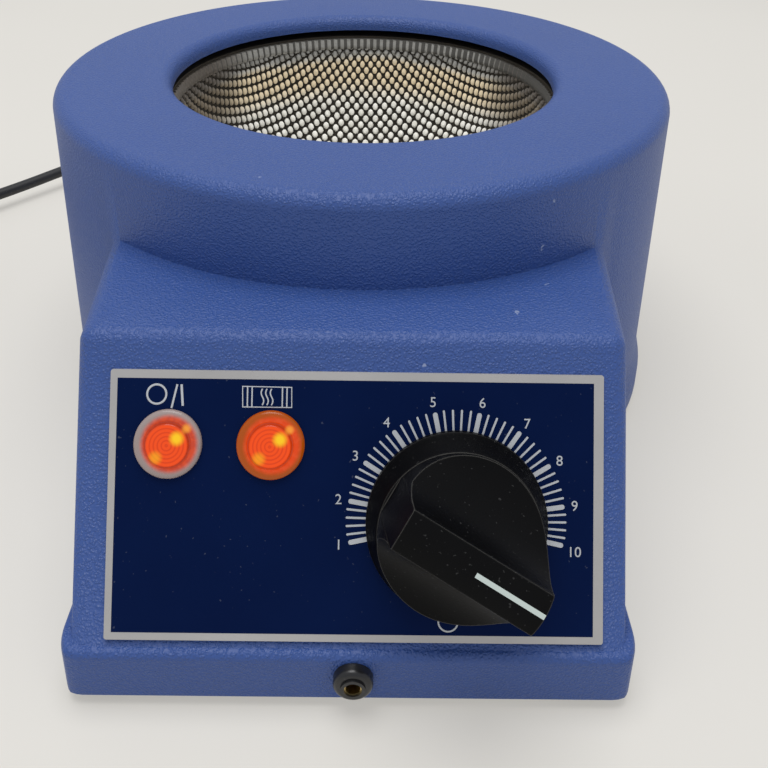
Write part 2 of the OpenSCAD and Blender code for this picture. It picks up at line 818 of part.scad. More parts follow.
module lamp_lens() {
  rib = window_d / 12;
  rotate_extrude() difference() {
    union() {
      translate([0, label_t]) rounded_square(lamp_d / 2, lamp_flange_t, 0.6);
      translate([0, label_t]) rounded_square(window_d / 2, lamp_flange_t + window_rise, 0.4);
      translate([0, label_t - 3]) square([lamp_bore_r, 3.2]);
    }
    translate([0, label_t - 3 - cut]) square([window_d / 2 - 0.8, 3.4 + cut]);
    // rings pressed into the window
    for (i = [1 : 4]) {
      translate([i * rib * 1.15, label_t + lamp_flange_t + window_rise]) circle(rib * 0.3, $fn = 24);
    }
  }
}

module lamp_body() {
  translate([0, 0, lamp_floor]) difference() {
    cylinder(r = lamp_body_r, h = label_t - lamp_floor);
    translate([0, 0, 2.5]) cylinder(r = lamp_bore_r, h = lamp_depth);
  }
}

module neon_tube() {
  translate([0, 0, lamp_floor + 2.5]) {
    cylinder(d = neon_d, h = neon_l - neon_d / 2);
    translate([0, 0, neon_l - neon_d / 2]) sphere(d = neon_d);
  }
}

module mains_lamp_lens() {
  color([0.95, 0.9, 0.88]) on_panel(-mains_lamp_u, lamp_v) lamp_lens();
}

module mains_lamp_body() {
  color("white") on_panel(-mains_lamp_u, lamp_v) lamp_body();
}

module mains_neon() {
  color("orangered") on_panel(-mains_lamp_u, lamp_v) neon_tube();
}

module heat_lamp_lens() {
  color("orange") on_panel(-heat_lamp_u, lamp_v) lamp_lens();
}

module heat_lamp_body() {
  color("white") on_panel(-heat_lamp_u, lamp_v) lamp_body();
}

module heat_neon() {
  color("orangered") on_panel(-heat_lamp_u, lamp_v) neon_tube();
}

module lamp_clips() {
  color("silver") for (u = [-mains_lamp_u, -heat_lamp_u]) {
    on_panel(u, lamp_v) translate([0, 0, -wall - bear_gap - 0.6]) difference() {
      cylinder(r = lamp_body_r + 2.4, h = 0.6);
      translate([0, 0, -cut]) cylinder(r = lamp_body_r, h = 0.6 + 2 * cut);
    }
  }
}

// ---- Regulator and knob ----

module energy_regulator() {
  color("dimgray") on_panel(dial_u, dial_v) difference() {
    union() {
      translate([0, 0, regulator_low]) linear_extrude(regulator_depth - 4)
        rounded_plate(regulator_w, regulator_h, 2);
      translate([0, 0, -wall - 4]) linear_extrude(4) rounded_plate(regulator_w - 6, regulator_h - 6, 3);
      translate([0, 0, -wall - cut]) cylinder(d = bush_d, h = wall + cut + bush_top);
    }
    translate([0, 0, -wall - spindle_seat]) cylinder(r = spindle_d / 2 + run_gap, h = wall + spindle_seat + bush_top + cut);
  }
}

module regulator_tabs() {
  color("goldenrod") on_panel(dial_u, dial_v) for (side = [-1, 1], row = [0, 1]) {
    translate([side * tab_pitch / 2, (row - 0.5) * tab_rise, regulator_low - tab_l / 2])
      cube([6.3, 0.8, tab_l], center = true);
  }
}

module regulator_nut() {
  color("silver") on_panel(dial_u, dial_v) translate([0, 0, label_t]) difference() {
    cylinder(r = nut_af / 2 / cos(30), h = nut_h, $fn = 6);
    translate([0, 0, -cut]) cylinder(d = bush_d, h = nut_h + 2 * cut);
  }
}

// Round bar with a flat that the knob's bore takes up
module spindle_form(low, high) {
  difference() {
    translate([0, 0, low]) cylinder(d = spindle_d, h = high - low);
    translate([spindle_d / 2 - spindle_flat, -spindle_d, knob_hollow]) cube([spindle_d, 2 * spindle_d, high]);
  }
}

module regulator_spindle() {
  color("silver") on_panel(dial_u, dial_v) rotate([0, 0, pointer_angle])
    spindle_form(-wall - spindle_seat + drop_fit, spindle_top);
}

module control_knob() {
  color([0.05, 0.05, 0.05]) on_panel(dial_u, dial_v) rotate([0, 0, pointer_angle]) difference() {
    rotate_extrude($fn = 120)
      polygon([[0, knob_low], [knob_r, knob_low], [knob_r, knob_low + 1.6], [knob_r - 0.5, knob_low + 2.1],
               [grip_r + 0.4, knob_rim_h - 0.6], [grip_r, knob_rim_h], [grip_r, knob_h], [0, knob_h]]);
    for (side = [-1, 1]) {
      translate([0, side * (grip_w / 2 + recess_r), knob_h - 1]) rotate([0, 90, 0])
        cylinder(r = recess_r, h = knob_d, center = true);
    }
    // sloping end of the grip's tail
    translate([-tail_reach, 0, knob_h]) rotate([0, -100, 0]) translate([-2 * knob_h, -knob_r, 0])
      cube([4 * knob_h, knob_d, knob_r]);
    // room for the nut, and the spindle's seat
    translate([0, 0, -cut]) cylinder(d = nut_af + 5, h = knob_hollow + cut);
    spindle_form(-cut, spindle_top);
    pointer_form(0);
  }
}

// Bar of the pointer, standing proud of the grip by the given amount
module pointer_form(proud) {
  translate([pointer_start, -pointer_w / 2, knob_h - 0.8])
    cube([grip_r - 0.15 - pointer_start, pointer_w, 0.8 + proud]);
}

module pointer_strip() {
  color("white") on_panel(dial_u, dial_v) rotate([0, 0, pointer_angle]) pointer_form(0.1);
}

// ---- Jack socket ----

// Local z points straight out of the plinth's front
module on_plinth() {
  in_case() translate([jack_x, jack_y, jack_h]) rotate([90, 0, 0]) children();
}

module jack_socket() {
  color([0.06, 0.06, 0.06]) on_plinth() difference() {
    union() {
      translate([0, 0, -wall - jack_body_l]) cylinder(d = jack_body_d, h = jack_body_l - bear_gap);
      translate([0, 0, -wall - 1]) cylinder(d = jack_nose_d, h = wall + 1 + jack_nose_out);
    }
    translate([0, 0, -wall - jack_body_l + 2]) cylinder(r = jack_bore_r + 0.1, h = 2 * jack_body_l);
    translate([0, 0, jack_nose_out - liner_l]) cylinder(r = liner_out_r, h = liner_l + cut);
  }
}

module jack_liner() {
  color("gold") on_plinth() translate([0, 0, jack_nose_out - liner_l]) difference() {
    cylinder(r = liner_out_r, h = liner_l - 0.5);
    translate([0, 0, -cut]) cylinder(r = jack_bore_r, h = liner_l + 2 * cut);
  }
}

module jack_nut() {
  color([0.06, 0.06, 0.06]) on_plinth() difference() {
    rotate_extrude() rounded_square(jack_nut_d / 2, jack_nut_h, 0.45 * jack_nut_h);
    translate([0, 0, -cut]) cylinder(d = jack_nose_d, h = jack_nut_h + 2 * cut);
  }
}

// ---- Wiring ----

module terminal_block() {
  color("white") in_case() translate([block_at[0], block_at[1], base_top]) difference() {
    union() {
      translate([-block_w / 2, -block_d / 2, 0]) cube([block_w, block_d, block_h - 4]);
      for (i = [-1, 0, 1]) translate([i * block_w / 3 - 3.5, -block_d / 2 + 2, 0]) cube([7, block_d - 4, block_h]);
    }
    for (i = [-1, 0, 1], y = [-4, 4]) {
      translate([i * block_w / 3, y, block_h - 6]) cylinder(d = 4, h = 6 + cut);
    }
  }
}

module terminal_screws() {
  color("goldenrod") in_case() translate([block_at[0], block_at[1], base_top]) {
    for (i = [-1, 0, 1], y = [-4, 4]) translate([i * block_w / 3, y, block_h - 6]) cylinder(d = 4, h = 5);
  }
}

module supply_leads() {
  color("brown") in_case() for (way = [0, 1]) {
    end = tab_at(2 * way - 1, 0);
    start = [block_at[0] + (1 - way) * block_w / 3, block_at[1] - block_d / 2, base_top + 5];
    lead([start, [start[0], start[1] - 7 * (1 + way), start[2]], end + off_tab, end], 2.4);
  }
}

module earth_stud() {
  color("goldenrod") in_case() translate([stud_at[0], stud_at[1], base_top]) {
    cylinder(d = 4, h = 11);
    cylinder(r = 7 / 2 / cos(30), h = 3.2, $fn = 6);
  }
}

module earth_lead() {
  color("green") in_case() translate([stud_at[0], stud_at[1], 0]) {
    difference() {
      translate([0, 0, base_top + 3.2]) cylinder(d = 8, h = 0.8);
      translate([0, 0, base_top]) cylinder(d = 4, h = 6);
    }
    lead([[0, 3.4, base_top + 3.6], [0, 8, base_top + 3.6], [0, 14, pan_floor + 4],
          [0, -stud_at[1] - sqrt(pan_out_r * pan_out_r - stud_at[0] * stud_at[0]), pan_floor + 4]], 2);
  }
}

// ---- Mains lead ----

module strain_relief() {
  color([0.07, 0.07, 0.07]) in_case() translate([0, relief_y, exit_h]) rotate([-90, 0, 0]) difference() {
    union() {
      cylinder(d = relief_flange_d, h = relief_flange_t);
      translate([0, 0, -wall - 3]) cylinder(d = relief_neck_d, h = wall + 3 + relief_flange_t);
      translate([0, 0, -wall - 3]) cylinder(d = relief_neck_d + 2, h = 2.5);
      translate([0, 0, relief_flange_t]) cylinder(d1 = relief_neck_d - 1, d2 = relief_tip_d, h = relief_l);
    }
    // bending grooves, shallower towards the thin end
    for (i = [0 : relief_grooves - 1]) {
      z = relief_flange_t + 4 + i * (relief_l - 7) / relief_grooves;
      outside = relief_neck_d / 2 - 0.5 - (relief_neck_d - 1 - relief_tip_d) / 2 * (z - relief_flange_t) / relief_l;
      translate([0, 0, z]) difference() {
        cylinder(d = 2 * relief_flange_d, h = 1.8);
        translate([0, 0, -cut]) cylinder(r = outside - 0.9, h = 1.8 + 2 * cut);
      }
    }
    translate([0, 0, -wall - 3 - cut]) cylinder(d = cord_d, h = wall + 3 + relief_flange_t + relief_l + 2 * cut);
  }
}

// The lead inside the sleeve and round the pan to the terminal block
module inner_cord() {
  block_end = [block_at[0], block_at[1] + block_d / 2, base_top + 7];
  round_pan = [for (a = [90 : 22.5 : 225]) [wiring_r * cos(a), wiring_r * sin(a), exit_h]];
  color([0.1, 0.1, 0.1]) in_case()
    lead([[0, relief_reach, exit_h], each round_pan, [block_end[0], block_end[1] + 6, block_end[2]], block_end],
         cord_d);
}

module mains_cord() {
  color([0.08, 0.08, 0.08])
    swept_tube(finer([for (p = cord_route) on_axis(p)], 2), cord_r, 10);
}

module cord_coil() {
  wide = coil_wide * cord_d;
  color([0.08, 0.08, 0.08]) on_table() translate([coil_at[0], coil_at[1], tie_t])
    rotate_extrude() translate([coil_r, coil_layers * cord_r])
      rounded_plate(wide, coil_layers * cord_d, cord_r - 0.01);
}

module cord_tail() {
  color([0.08, 0.08, 0.08])
    swept_tube([for (p = tail_route) on_axis(p)], cord_r, 10);
}

module cord_tie() {
  half = coil_wide * cord_r;
  // the turns curve inside the tie's width
  near = sqrt(pow(coil_r - half, 2) - pow(tie_w / 2, 2)) - 0.1;
  wide = coil_r + half + 0.1 - near;
  high = coil_layers * cord_d;
  color("dimgray") on_table() translate([coil_at[0], coil_at[1], 0]) rotate([0, 0, 200]) difference() {
    translate([near - tie_t, -tie_w / 2, 0]) cube([wide + 2 * tie_t, tie_w, high + 2 * tie_t]);
    translate([near, -tie_w / 2 - cut, tie_t]) cube([wide, tie_w + 2 * cut, high]);
  }
}

// ---- Plug, lying on its back with its pins up and its cord end to the back ----

module plug_outline() {
  hull() {
    for (side = [-1, 1]) {
      translate([side * (plug_neck_w / 2 - 3), -3]) circle(3, $fn = hull_fn);
      translate([side * (plug_w / 2 - plug_corner), -plug_l * 0.45]) circle(plug_corner, $fn = hull_fn);
      translate([side * (plug_w / 2 - plug_corner), -plug_l + plug_corner]) circle(plug_corner, $fn = hull_fn);
    }
  }
}

module at_plug() {
  on_table() translate([plug_at[0], plug_at[1], 0]) children();
}

// Middle of the fuse carrier in the pin face
fuse_at = [0, -plug_l * 0.66];
earth_at = [0, -9];
live_y = earth_at[1] - pin_setback;

module pin_slots(l) {
  translate([earth_at[0] - 2, earth_at[1] - 4, 0]) cube([4, 8, l]);
  for (side = [-1, 1]) translate([side * pin_pitch / 2 - 3.2, live_y - 2, 0]) cube([6.4, 4, l]);
}

module plug_body() {
  color([0.06, 0.06, 0.06]) at_plug() difference() {
    linear_extrude(plug_t) plug_outline();
    translate([0, 0, plug_t - 4]) pin_slots(5);
    translate([fuse_at[0] - 6, fuse_at[1] - 3, plug_t - 5]) cube([12, 6, 6]);
  }
}

module plug_pins() {
  color("goldenrod") at_plug() translate([0, 0, plug_t - 4]) {
    translate([earth_at[0] - 2, earth_at[1] - 4, 0]) cube([4, 8, earth_pin_l + 4]);
    for (side = [-1, 1]) translate([side * pin_pitch / 2 - 3.2, live_y - 2, 0]) cube([6.4, 4, pin_l + 4]);
  }
}

module fuse_carrier() {
  color("firebrick") at_plug() translate([fuse_at[0] - 6, fuse_at[1] - 3, plug_t - 5]) cube([12, 6, 5]);
}

outer_case();
base_plate();
rubber_feet();
base_screws();
mesh_screen();
element_bowl();
insulation();
heat_pan();
clamp_ring();
ring_screws();
lead_bush();
element_leads();
panel_label();
mains_lamp_lens();
mains_lamp_body();
mains_neon();
heat_lamp_lens();
heat_lamp_body();
heat_neon();
lamp_clips();
energy_regulator();
regulator_tabs();
regulator_nut();
regulator_spindle();
control_knob();
pointer_strip();
jack_socket();
jack_liner();
jack_nut();
terminal_block();
terminal_screws();
supply_leads();
earth_stud();
earth_lead();
strain_relief();
inner_cord();
mains_cord();
cord_coil();
cord_tail();
cord_tie();
plug_body();
plug_pins();
fuse_carrier();
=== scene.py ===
# %% [markdown]
# # A laboratory heating mantle
# The part comes from CAD: every solid piece is already in its place. Here it gets its looks. The CAD nodes
# that are right in shape keep their mesh and get a finish; the lead, the wire screen, the lamp caps, the
# knob and the print on the panel are modelled again with the detail that a plain solid leaves out.

import json
from math import asin, atan2, copysign, cos, hypot, pi, radians, sin

import bmesh
import bpy
from mathutils import Matrix, Vector


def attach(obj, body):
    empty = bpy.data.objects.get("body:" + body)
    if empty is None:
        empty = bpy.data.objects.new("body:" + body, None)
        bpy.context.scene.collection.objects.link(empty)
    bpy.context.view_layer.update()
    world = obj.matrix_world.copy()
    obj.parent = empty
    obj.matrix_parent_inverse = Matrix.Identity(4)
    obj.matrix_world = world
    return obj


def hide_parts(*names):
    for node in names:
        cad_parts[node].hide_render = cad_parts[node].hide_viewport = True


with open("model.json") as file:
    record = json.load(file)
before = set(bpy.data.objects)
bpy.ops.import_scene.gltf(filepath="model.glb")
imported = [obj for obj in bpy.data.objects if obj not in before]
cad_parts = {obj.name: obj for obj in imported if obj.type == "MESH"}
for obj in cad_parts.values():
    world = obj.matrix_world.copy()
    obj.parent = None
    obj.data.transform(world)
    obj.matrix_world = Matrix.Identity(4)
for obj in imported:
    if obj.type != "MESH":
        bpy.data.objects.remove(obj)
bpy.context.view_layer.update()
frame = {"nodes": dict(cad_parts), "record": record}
nodes = frame["nodes"]

# %% [markdown]
# Drawings of the mantle measure from the drum's axis and from the case's lower edge, in millimetres. The
# part's own frame starts on the table, midway between the knob and the lead's outlet. Two small functions
# turn the drawing's numbers into places in that frame, so the rest can use the drawing's numbers as they are.

# %% Places on the mantle
MM = 0.001
axis_y = 19.1715
foot_h = 3.5
crease_reach = 126.2
shelf_h = 81
panel_tilt = radians(25.7)


def place(x, y, z):
    """A point given from the drum's axis and the case's lower edge, in millimetres."""
    return Vector((x, y + axis_y, z + foot_h)) * MM


def panel(u, v, h=0):
    """Places a piece u across and v down the panel, h above it, all in millimetres."""
    spot = place(u, -crease_reach - v * sin(panel_tilt), shelf_h - v * cos(panel_tilt))
    turn = Matrix.Rotation(pi / 2 - panel_tilt, 4, "X")
    return Matrix.Translation(spot) @ turn @ Matrix.Translation((0, 0, h * MM))


print("middle of the dial", [round(v, 4) for v in panel(25.3, 44).translation])

# %% [markdown]
# A camera looks along its own -Z. It is turned in three steps: down from the horizon, a little to one side,
# and a hair about its own line of sight. The lens is shifted, so that the view shows the lower part of what
# the lens sees; a shift moves the view and keeps the perspective.

# %% Camera
scene = bpy.context.scene
scene.view_settings.view_transform = "Standard"
image_px = 768
focal_px = 911.42
centre_row_px = 149.02
eye = Vector((0.004766, -0.292307, 0.213094))
pitch, yaw, roll = 0.405318, 0.0093676, 0.018929

camera_data = bpy.data.cameras.new("camera")
camera_data.sensor_width = 36
camera_data.lens = focal_px / image_px * 36
camera_data.shift_y = -(image_px / 2 - centre_row_px) / image_px
camera_data.clip_start = 0.01
camera = bpy.data.objects.new("camera", camera_data)
scene.collection.objects.link(camera)
camera.matrix_world = (
    Matrix.Translation(eye)
    @ Matrix.Rotation(-yaw, 4, "Z")
    @ Matrix.Rotation(pi / 2 - pitch, 4, "X")
    @ Matrix.Rotation(roll, 4, "Z")
)
scene.camera = camera
print("lens", round(camera_data.lens, 2), "mm, shift", round(camera_data.shift_y, 4))

# %% [markdown]
# The mains lead is a round rubber cable, 5.5 mm thick. It leaves the sleeve at the back, sinks to the table,
# runs round the mantle and is wound into a storage coil of two layers, three turns to a layer. A curve with
# a round bevel is the natural way to make it: only the middle line has to be right. The coil's line is
# worked out from how far it has been wound, with short steps from each turn to the next.

# %% Route of the mains lead
cord_d = 5.5
route = [
    (0, 138.5, 25.5), (0, 152, 25.3), (-2, 167, 24.5), (-9, 183, 23), (-23, 196, 21), (-42, 203, 19),
    (-62, 203.5, 17), (-82, 197, 15), (-101, 186, 13.2), (-119, 172, 11.8), (-135, 156.5, 10.6),
    (-149, 141, 9.8), (-161.5, 127, 9.2), (-173, 113.5, 8.6), (-184, 100.5, 8.4), (-191, 92, 8.6),
    (-196, 85, 8.7),
]
coil_at = (-236.5, 88)
tail_route = [
    (-201, 62, 3.7), (-201, 55.5, 5.2), (-201, 49.5, 7.4), (-201, 44.5, 9.1), (-201, 41, 9.5),
    (-201, 38, 9.5),
]
coil_start, coil_end, coil_step = -34, 2126, 16
big_r, middle_r, small_r = 35.5, 30, 24.5
upper_z, lower_z = 8.75, 3.25
winding = [
    (0, big_r, upper_z), (310, big_r, upper_z), (350, middle_r, upper_z), (670, middle_r, upper_z),
    (710, small_r, upper_z), (1050, small_r, upper_z), (1095, small_r, lower_z), (1370, small_r, lower_z),
    (1410, middle_r, lower_z), (1730, middle_r, lower_z), (1770, big_r, lower_z), (coil_end, big_r, lower_z),
]


def wound(degrees):
    """Point of the coil's line after winding that far clockwise from where the lead joins it."""
    for (a, r0, z0), (b, r1, z1) in zip(winding, winding[1:]):
        if degrees <= b:
            share = (degrees - a) / (b - a)
            ease = share * share * (3 - 2 * share)
            r, z = r0 + (r1 - r0) * ease, z0 + (z1 - z0) * ease
            break
    angle = radians(coil_start - degrees)
    return (coil_at[0] + r * cos(angle), coil_at[1] + r * sin(angle), z)


turns = [wound(a) for a in [*range(0, coil_end, coil_step), coil_end]]
lead_line = [Vector((x, y + axis_y, z)) * MM for x, y, z in [*route, *turns, *tail_route]]
print(len(lead_line), "points on the lead's line")

# %% [markdown]
# Blender lays a smooth curve through the points, with handles that it works out by itself. The bevel depth
# is one metre and each point's radius scales it down to half of the lead's thickness: that way the curve's
# own bounding box stays as small as the lead.

# %% Mains lead
curve = bpy.data.curves.new("mains_lead", "CURVE")
curve.dimensions = "3D"
curve.bevel_depth = 1
curve.bevel_resolution = 4
curve.use_fill_caps = True
curve.resolution_u = 4
line = curve.splines.new("BEZIER")
line.bezier_points.add(len(lead_line) - 1)
for knot, spot in zip(line.bezier_points, lead_line):
    knot.co, knot.radius = spot, cord_d / 2 * MM
    knot.handle_left_type = knot.handle_right_type = "AUTO"
mains_lead = bpy.data.objects.new("mains_lead", curve)
scene.collection.objects.link(mains_lead)
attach(mains_lead, "mantle")
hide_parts("mains_cord", "cord_coil", "cord_tail")

# %% [markdown]
# Finishes are built from nodes. Two small classes make that read like arithmetic. `Link` wraps an output
# socket, and its operators add Math nodes, so `1 - mask * 0.5` is a row of nodes. `Finish` holds one
# material; its `add` makes any other node from its type, its settings and its inputs, and gives one of its
# outputs as a `Link`. Patterns follow the Object coordinates, so they stay on the piece when it turns.

# %% Node helpers
class Link:
    """An output socket that can be added, subtracted and multiplied."""

    def __init__(self, finish, socket):
        self.finish, self.socket = finish, socket

    def join(self, operation, a, b):
        return self.finish.add("ShaderNodeMath", {"operation": operation}, {0: a, 1: b})

    def __add__(self, other):
        return self.join("ADD", self, other)

    def __radd__(self, other):
        return self.join("ADD", other, self)

    def __sub__(self, other):
        return self.join("SUBTRACT", self, other)

    def __rsub__(self, other):
        return self.join("SUBTRACT", other, self)

    def __mul__(self, other):
        return self.join("MULTIPLY", self, other)

    def __rmul__(self, other):
        return self.join("MULTIPLY", other, self)

    def other(self, name):
        """Another output of the same node."""
        return Link(self.finish, self.socket.node.outputs[name])


class Finish:
    """One material, made node by node."""

    def __init__(self, name):
        self.material = bpy.data.materials.new(name)
        self.material.use_nodes = True
        self.tree = self.material.node_tree
        self.tree.nodes.clear()
        self.object_place = self.add("ShaderNodeTexCoord", give="Object")

    def add(self, kind, settings=None, values=None, give=0):
        """Adds a node and gives one of its outputs as a Link."""
        node = self.tree.nodes.new(kind)
        for name, value in (settings or {}).items():
            setattr(node, name, value)
        for name, value in (values or {}).items():
            if isinstance(value, Link):
                self.tree.links.new(value.socket, node.inputs[name])
            else:
                node.inputs[name].default_value = value
        return Link(self, node.outputs[give]) if len(node.outputs) else node

    def between(self, low, high, value):
        """1 where the value is above high, 0 below low, and smooth between them."""
        return self.add("ShaderNodeMapRange", {"interpolation_type": "SMOOTHSTEP"},
                        {"Value": value, "From Min": low, "From Max": high})

    def noise(self, scale, detail=2.0, rough=0.5):
        """Cloudy noise on the piece, with a scale in clouds to the metre."""
        return self.add("ShaderNodeTexNoise", None, {"Vector": self.object_place, "Scale": scale,
                                                     "Detail": detail, "Roughness": rough})

    def mix(self, share, a, b):
        """A colour between a and b."""
        colours = [c if isinstance(c, Link) else (*c, 1) for c in (a, b)]
        return self.add("ShaderNodeMix", {"data_type": "RGBA"}, {0: share, 6: colours[0], 7: colours[1]},
                        give=2)

    def length(self, x, y):
        """Length of the line from the origin to x, y."""
        return self.add("ShaderNodeMath", {"operation": "SQRT"}, {0: x * x + y * y})

    def bump(self, height, depth, strength=1.0, under=None):
        """A normal that follows a height, a depth in metres, over the normal under it."""
        values = {"Height": height, "Distance": depth, "Strength": strength}
        if under is not None:
            values["Normal"] = under
        return self.add("ShaderNodeBump", None, values)

    def soft_edges(self, radius):
        """A normal that rounds sharp edges off, with a radius in millimetres."""
        return self.add("ShaderNodeBevel", {"samples": 6}, {"Radius": radius * MM})

    def surface(self, values):
        """The shader itself, and the material's output."""
        shader = self.add("ShaderNodeBsdfPrincipled", None, values)
        self.add("ShaderNodeOutputMaterial", None, {"Surface": shader})
        return self.material


print("node helpers ready")

# %% [markdown]
# Most moulded and metal parts share one recipe: a base colour that drifts a little, a roughness with faint
# handling marks, and a fine bump. One function makes them all; each finish gives its own numbers, so rubber
# looks like rubber and plated steel like plated steel.

# %% Plain finishes
def plain_finish(name, colour, rough, metal=0.0, grain=1500, depth=0.00002, drift=0.12, dust=0.0):
    """A finish from its colour and gloss, the scale and depth of its grain, its unevenness and its dust."""
    f = Finish(name)
    cloud = f.noise(45, 3)
    fine = f.noise(grain, 2)
    darker = tuple(c * (1 - drift) for c in colour)
    lighter = tuple(min(1.0, c * (1 + drift)) for c in colour)
    base = f.mix(cloud, darker, lighter)
    if dust:
        specks = f.between(0.66, 0.74, f.noise(900, 1))
        base = f.mix(specks * dust, base, (0.45, 0.44, 0.42))
    return f.surface({"Base Color": base, "Metallic": metal, "Roughness": cloud * 0.12 + (rough - 0.06),
                      "Normal": f.bump(fine, depth, 0.6)})


finishes = {
    "sheet_steel": plain_finish("plated_sheet_steel", (0.56, 0.57, 0.58), 0.34, 1.0, 900, 0.00001),
    "foot_rubber": plain_finish("foot_rubber", (0.022, 0.022, 0.022), 0.78, 0, 1800, 0.00004, dust=0.1),
    "screw_steel": plain_finish("bright_zinc", (0.63, 0.64, 0.66), 0.26, 1.0, 2500, 0.00001),
    "glass_wool": plain_finish("matted_glass_wool", (0.66, 0.60, 0.42), 0.95, 0, 700, 0.0006, 0.25),
    "pan_aluminium": plain_finish("spun_aluminium", (0.72, 0.72, 0.73), 0.38, 1.0, 700, 0.00001),
    "porcelain": plain_finish("glazed_porcelain", (0.80, 0.78, 0.73), 0.16, 0, 400, 0.00001, 0.04),
    "glass_sleeve": plain_finish("braided_glass_sleeve", (0.74, 0.70, 0.60), 0.85, 0, 2600, 0.0002),
    "white_nylon": plain_finish("white_nylon", (0.72, 0.71, 0.67), 0.42, 0, 1600, 0.00001, 0.05),
    "regulator_black": plain_finish("switch_phenolic", (0.02, 0.02, 0.021), 0.5, 0, 1500, 0.00003),
    "terminal_brass": plain_finish("plain_brass", (0.71, 0.53, 0.22), 0.27, 1.0, 2200, 0.00001),
    "lead_brown": plain_finish("brown_insulation", (0.17, 0.07, 0.03), 0.4, 0, 1200, 0.00001),
    "lead_green": plain_finish("green_insulation", (0.06, 0.26, 0.05), 0.4, 0, 1200, 0.00001),
    "tie_nylon": plain_finish("hook_and_loop", (0.018, 0.018, 0.02), 0.9, 0, 2400, 0.0003, 0.3),
    "fuse_red": plain_finish("fuse_carrier_red", (0.33, 0.02, 0.015), 0.38, 0, 1500, 0.00001),
    "plug_black": plain_finish("plug_moulding", (0.012, 0.012, 0.013), 0.42, 0, 1300, 0.00004, 0.2, 0.05),
    "jack_black": plain_finish("jack_nylon", (0.010, 0.010, 0.011), 0.28, 0, 1500, 0.00001, 0.2, 0.04),
    "cord_rubber": plain_finish("mains_lead_rubber", (0.012, 0.012, 0.013), 0.48, 0, 1100, 0.00006, 0.2,
                                0.05),
    "pointer_white": plain_finish("pointer_filling", (0.56, 0.64, 0.60), 0.5, 0, 1500, 0.00003, 0.15),
}
print(len(finishes), "plain finishes")

# %% [markdown]
# The case is moulded in blue polypropylene with a leather grain etched into the mould: rounded pebbles less
# than a millimetre across with fine creases between them. Voronoi cells are the natural pattern for that.
# Their places are stirred by noise first, so that the cells look torn and not tiled. The grain is in the
# bump, and its creases are a little darker and duller. A few specks of noise are pale scuffs.

# %% Leather-grained case
def case_finish():
    f = Finish("leather_grain_blue")
    stir = f.noise(700, 2).other("Color")
    stirred = f.add("ShaderNodeVectorMath", {"operation": "SCALE"}, {0: stir, "Scale": 0.0011})
    torn = f.add("ShaderNodeVectorMath", {"operation": "ADD"}, {0: f.object_place, 1: stirred})
    cells = f.add("ShaderNodeTexVoronoi", {"feature": "SMOOTH_F1"},
                  {"Vector": torn, "Scale": 1450, "Smoothness": 0.25}, give="Distance")
    pebbles = 1 - f.between(0.1, 0.75, cells)
    fine = f.noise(2600, 2)
    cloud = f.noise(22, 3)
    base = f.mix(cloud, (0.025, 0.070, 0.252), (0.036, 0.087, 0.295))
    base = f.mix((1 - pebbles) * 0.22, base, (0.022, 0.06, 0.24))
    scuffs = f.between(0.735, 0.76, f.noise(130, 3, rough=0.65))
    base = f.mix(scuffs * 0.5, base, (0.42, 0.47, 0.60))
    return f.surface({"Base Color": base, "Roughness": 0.44 - pebbles * 0.08 + cloud * 0.06,
                      "Normal": f.bump(pebbles + fine * 0.3, 0.00017, 0.95), "IOR": 1.5})


finishes["case_blue"] = case_finish()
print("case finish ready")

# %% [markdown]
# The knitted glass cloth of the bowl is soft, slightly shiny yarn. Two crossed wave textures give its rows of
# loops. Heat has browned it near the rim and scorched its two sides, and the last row under the lip is much
# darker, so the colour follows the height in the bowl, with noise to keep the bands uneven. A faint glow of
# its own colour is painted light that brightens the cloth. Its folds and gaps are in the shade, so their dark
# finishes are painted shade, and the wire is tinted by heat and darkened further as painted shade: plain
# finishes do for these.

# %% Glass cloth and wire
def cloth_finish(name):
    f = Finish(name)
    across = f.add("ShaderNodeTexWave", {"wave_type": "BANDS", "bands_direction": "DIAGONAL"},
                   {"Vector": f.object_place, "Scale": 260, "Distortion": 2.5, "Detail": 2})
    along = f.add("ShaderNodeTexWave", {"wave_type": "BANDS", "bands_direction": "X"},
                  {"Vector": f.object_place, "Scale": 300, "Distortion": 2.0, "Detail": 2})
    yarn = (across + along) * 0.5
    x = f.add("ShaderNodeSeparateXYZ", None, {"Vector": f.object_place})
    height = x.other("Z") + f.noise(30, 2) * 0.006 - 0.003
    browned = f.between(0.074, 0.084, height) * (1 - f.between(0.091, 0.095, height))
    darker_under_lip = f.between(0.091, 0.096, height)
    patch = f.between(0.35, 0.65, f.noise(240, 2))
    base = f.mix(patch, (0.84, 0.82, 0.74), (1.0, 0.98, 0.90))
    base = f.mix(browned * 0.75, base, (0.92, 0.72, 0.42))
    base = f.mix(darker_under_lip * 0.8, base, (0.17, 0.165, 0.15))
    aside = f.add("ShaderNodeMath", {"operation": "ABSOLUTE"}, {0: x}) + f.noise(60, 2) * 0.008 - 0.004
    scorched = f.between(0.046, 0.060, aside) * f.between(0.060, 0.082, height)
    base = f.mix(scorched * 0.85, base, (0.075, 0.055, 0.038))
    # A faint glow in the cloth's own colour is painted light that brightens the cloth.
    return f.surface({"Base Color": base, "Roughness": 0.62 - yarn * 0.2,
                      "Normal": f.bump(yarn, 0.00012, 0.6), "Sheen Weight": 0.15,
                      "Emission Color": base, "Emission Strength": 0.1})


finishes["glass_cloth"] = cloth_finish("knitted_glass_cloth")
finishes["cloth_folds"] = plain_finish("cloth_folds", (0.10, 0.095, 0.085), 0.85, 0, 900, 0.00005, 0.3)
finishes["cloth_gaps"] = plain_finish("cloth_gaps", (0.035, 0.030, 0.024), 0.85, 0, 900, 0.00005, 0.3)
# The wire's near-black is heat tint, and painted shade as well.
finishes["screen_wire"] = plain_finish("heat_tinted_wire_with_painted_shade", (0.045, 0.038, 0.03), 0.55, 0.6, 1400, 0.00003,
                                       0.4)
print("bowl finishes ready")

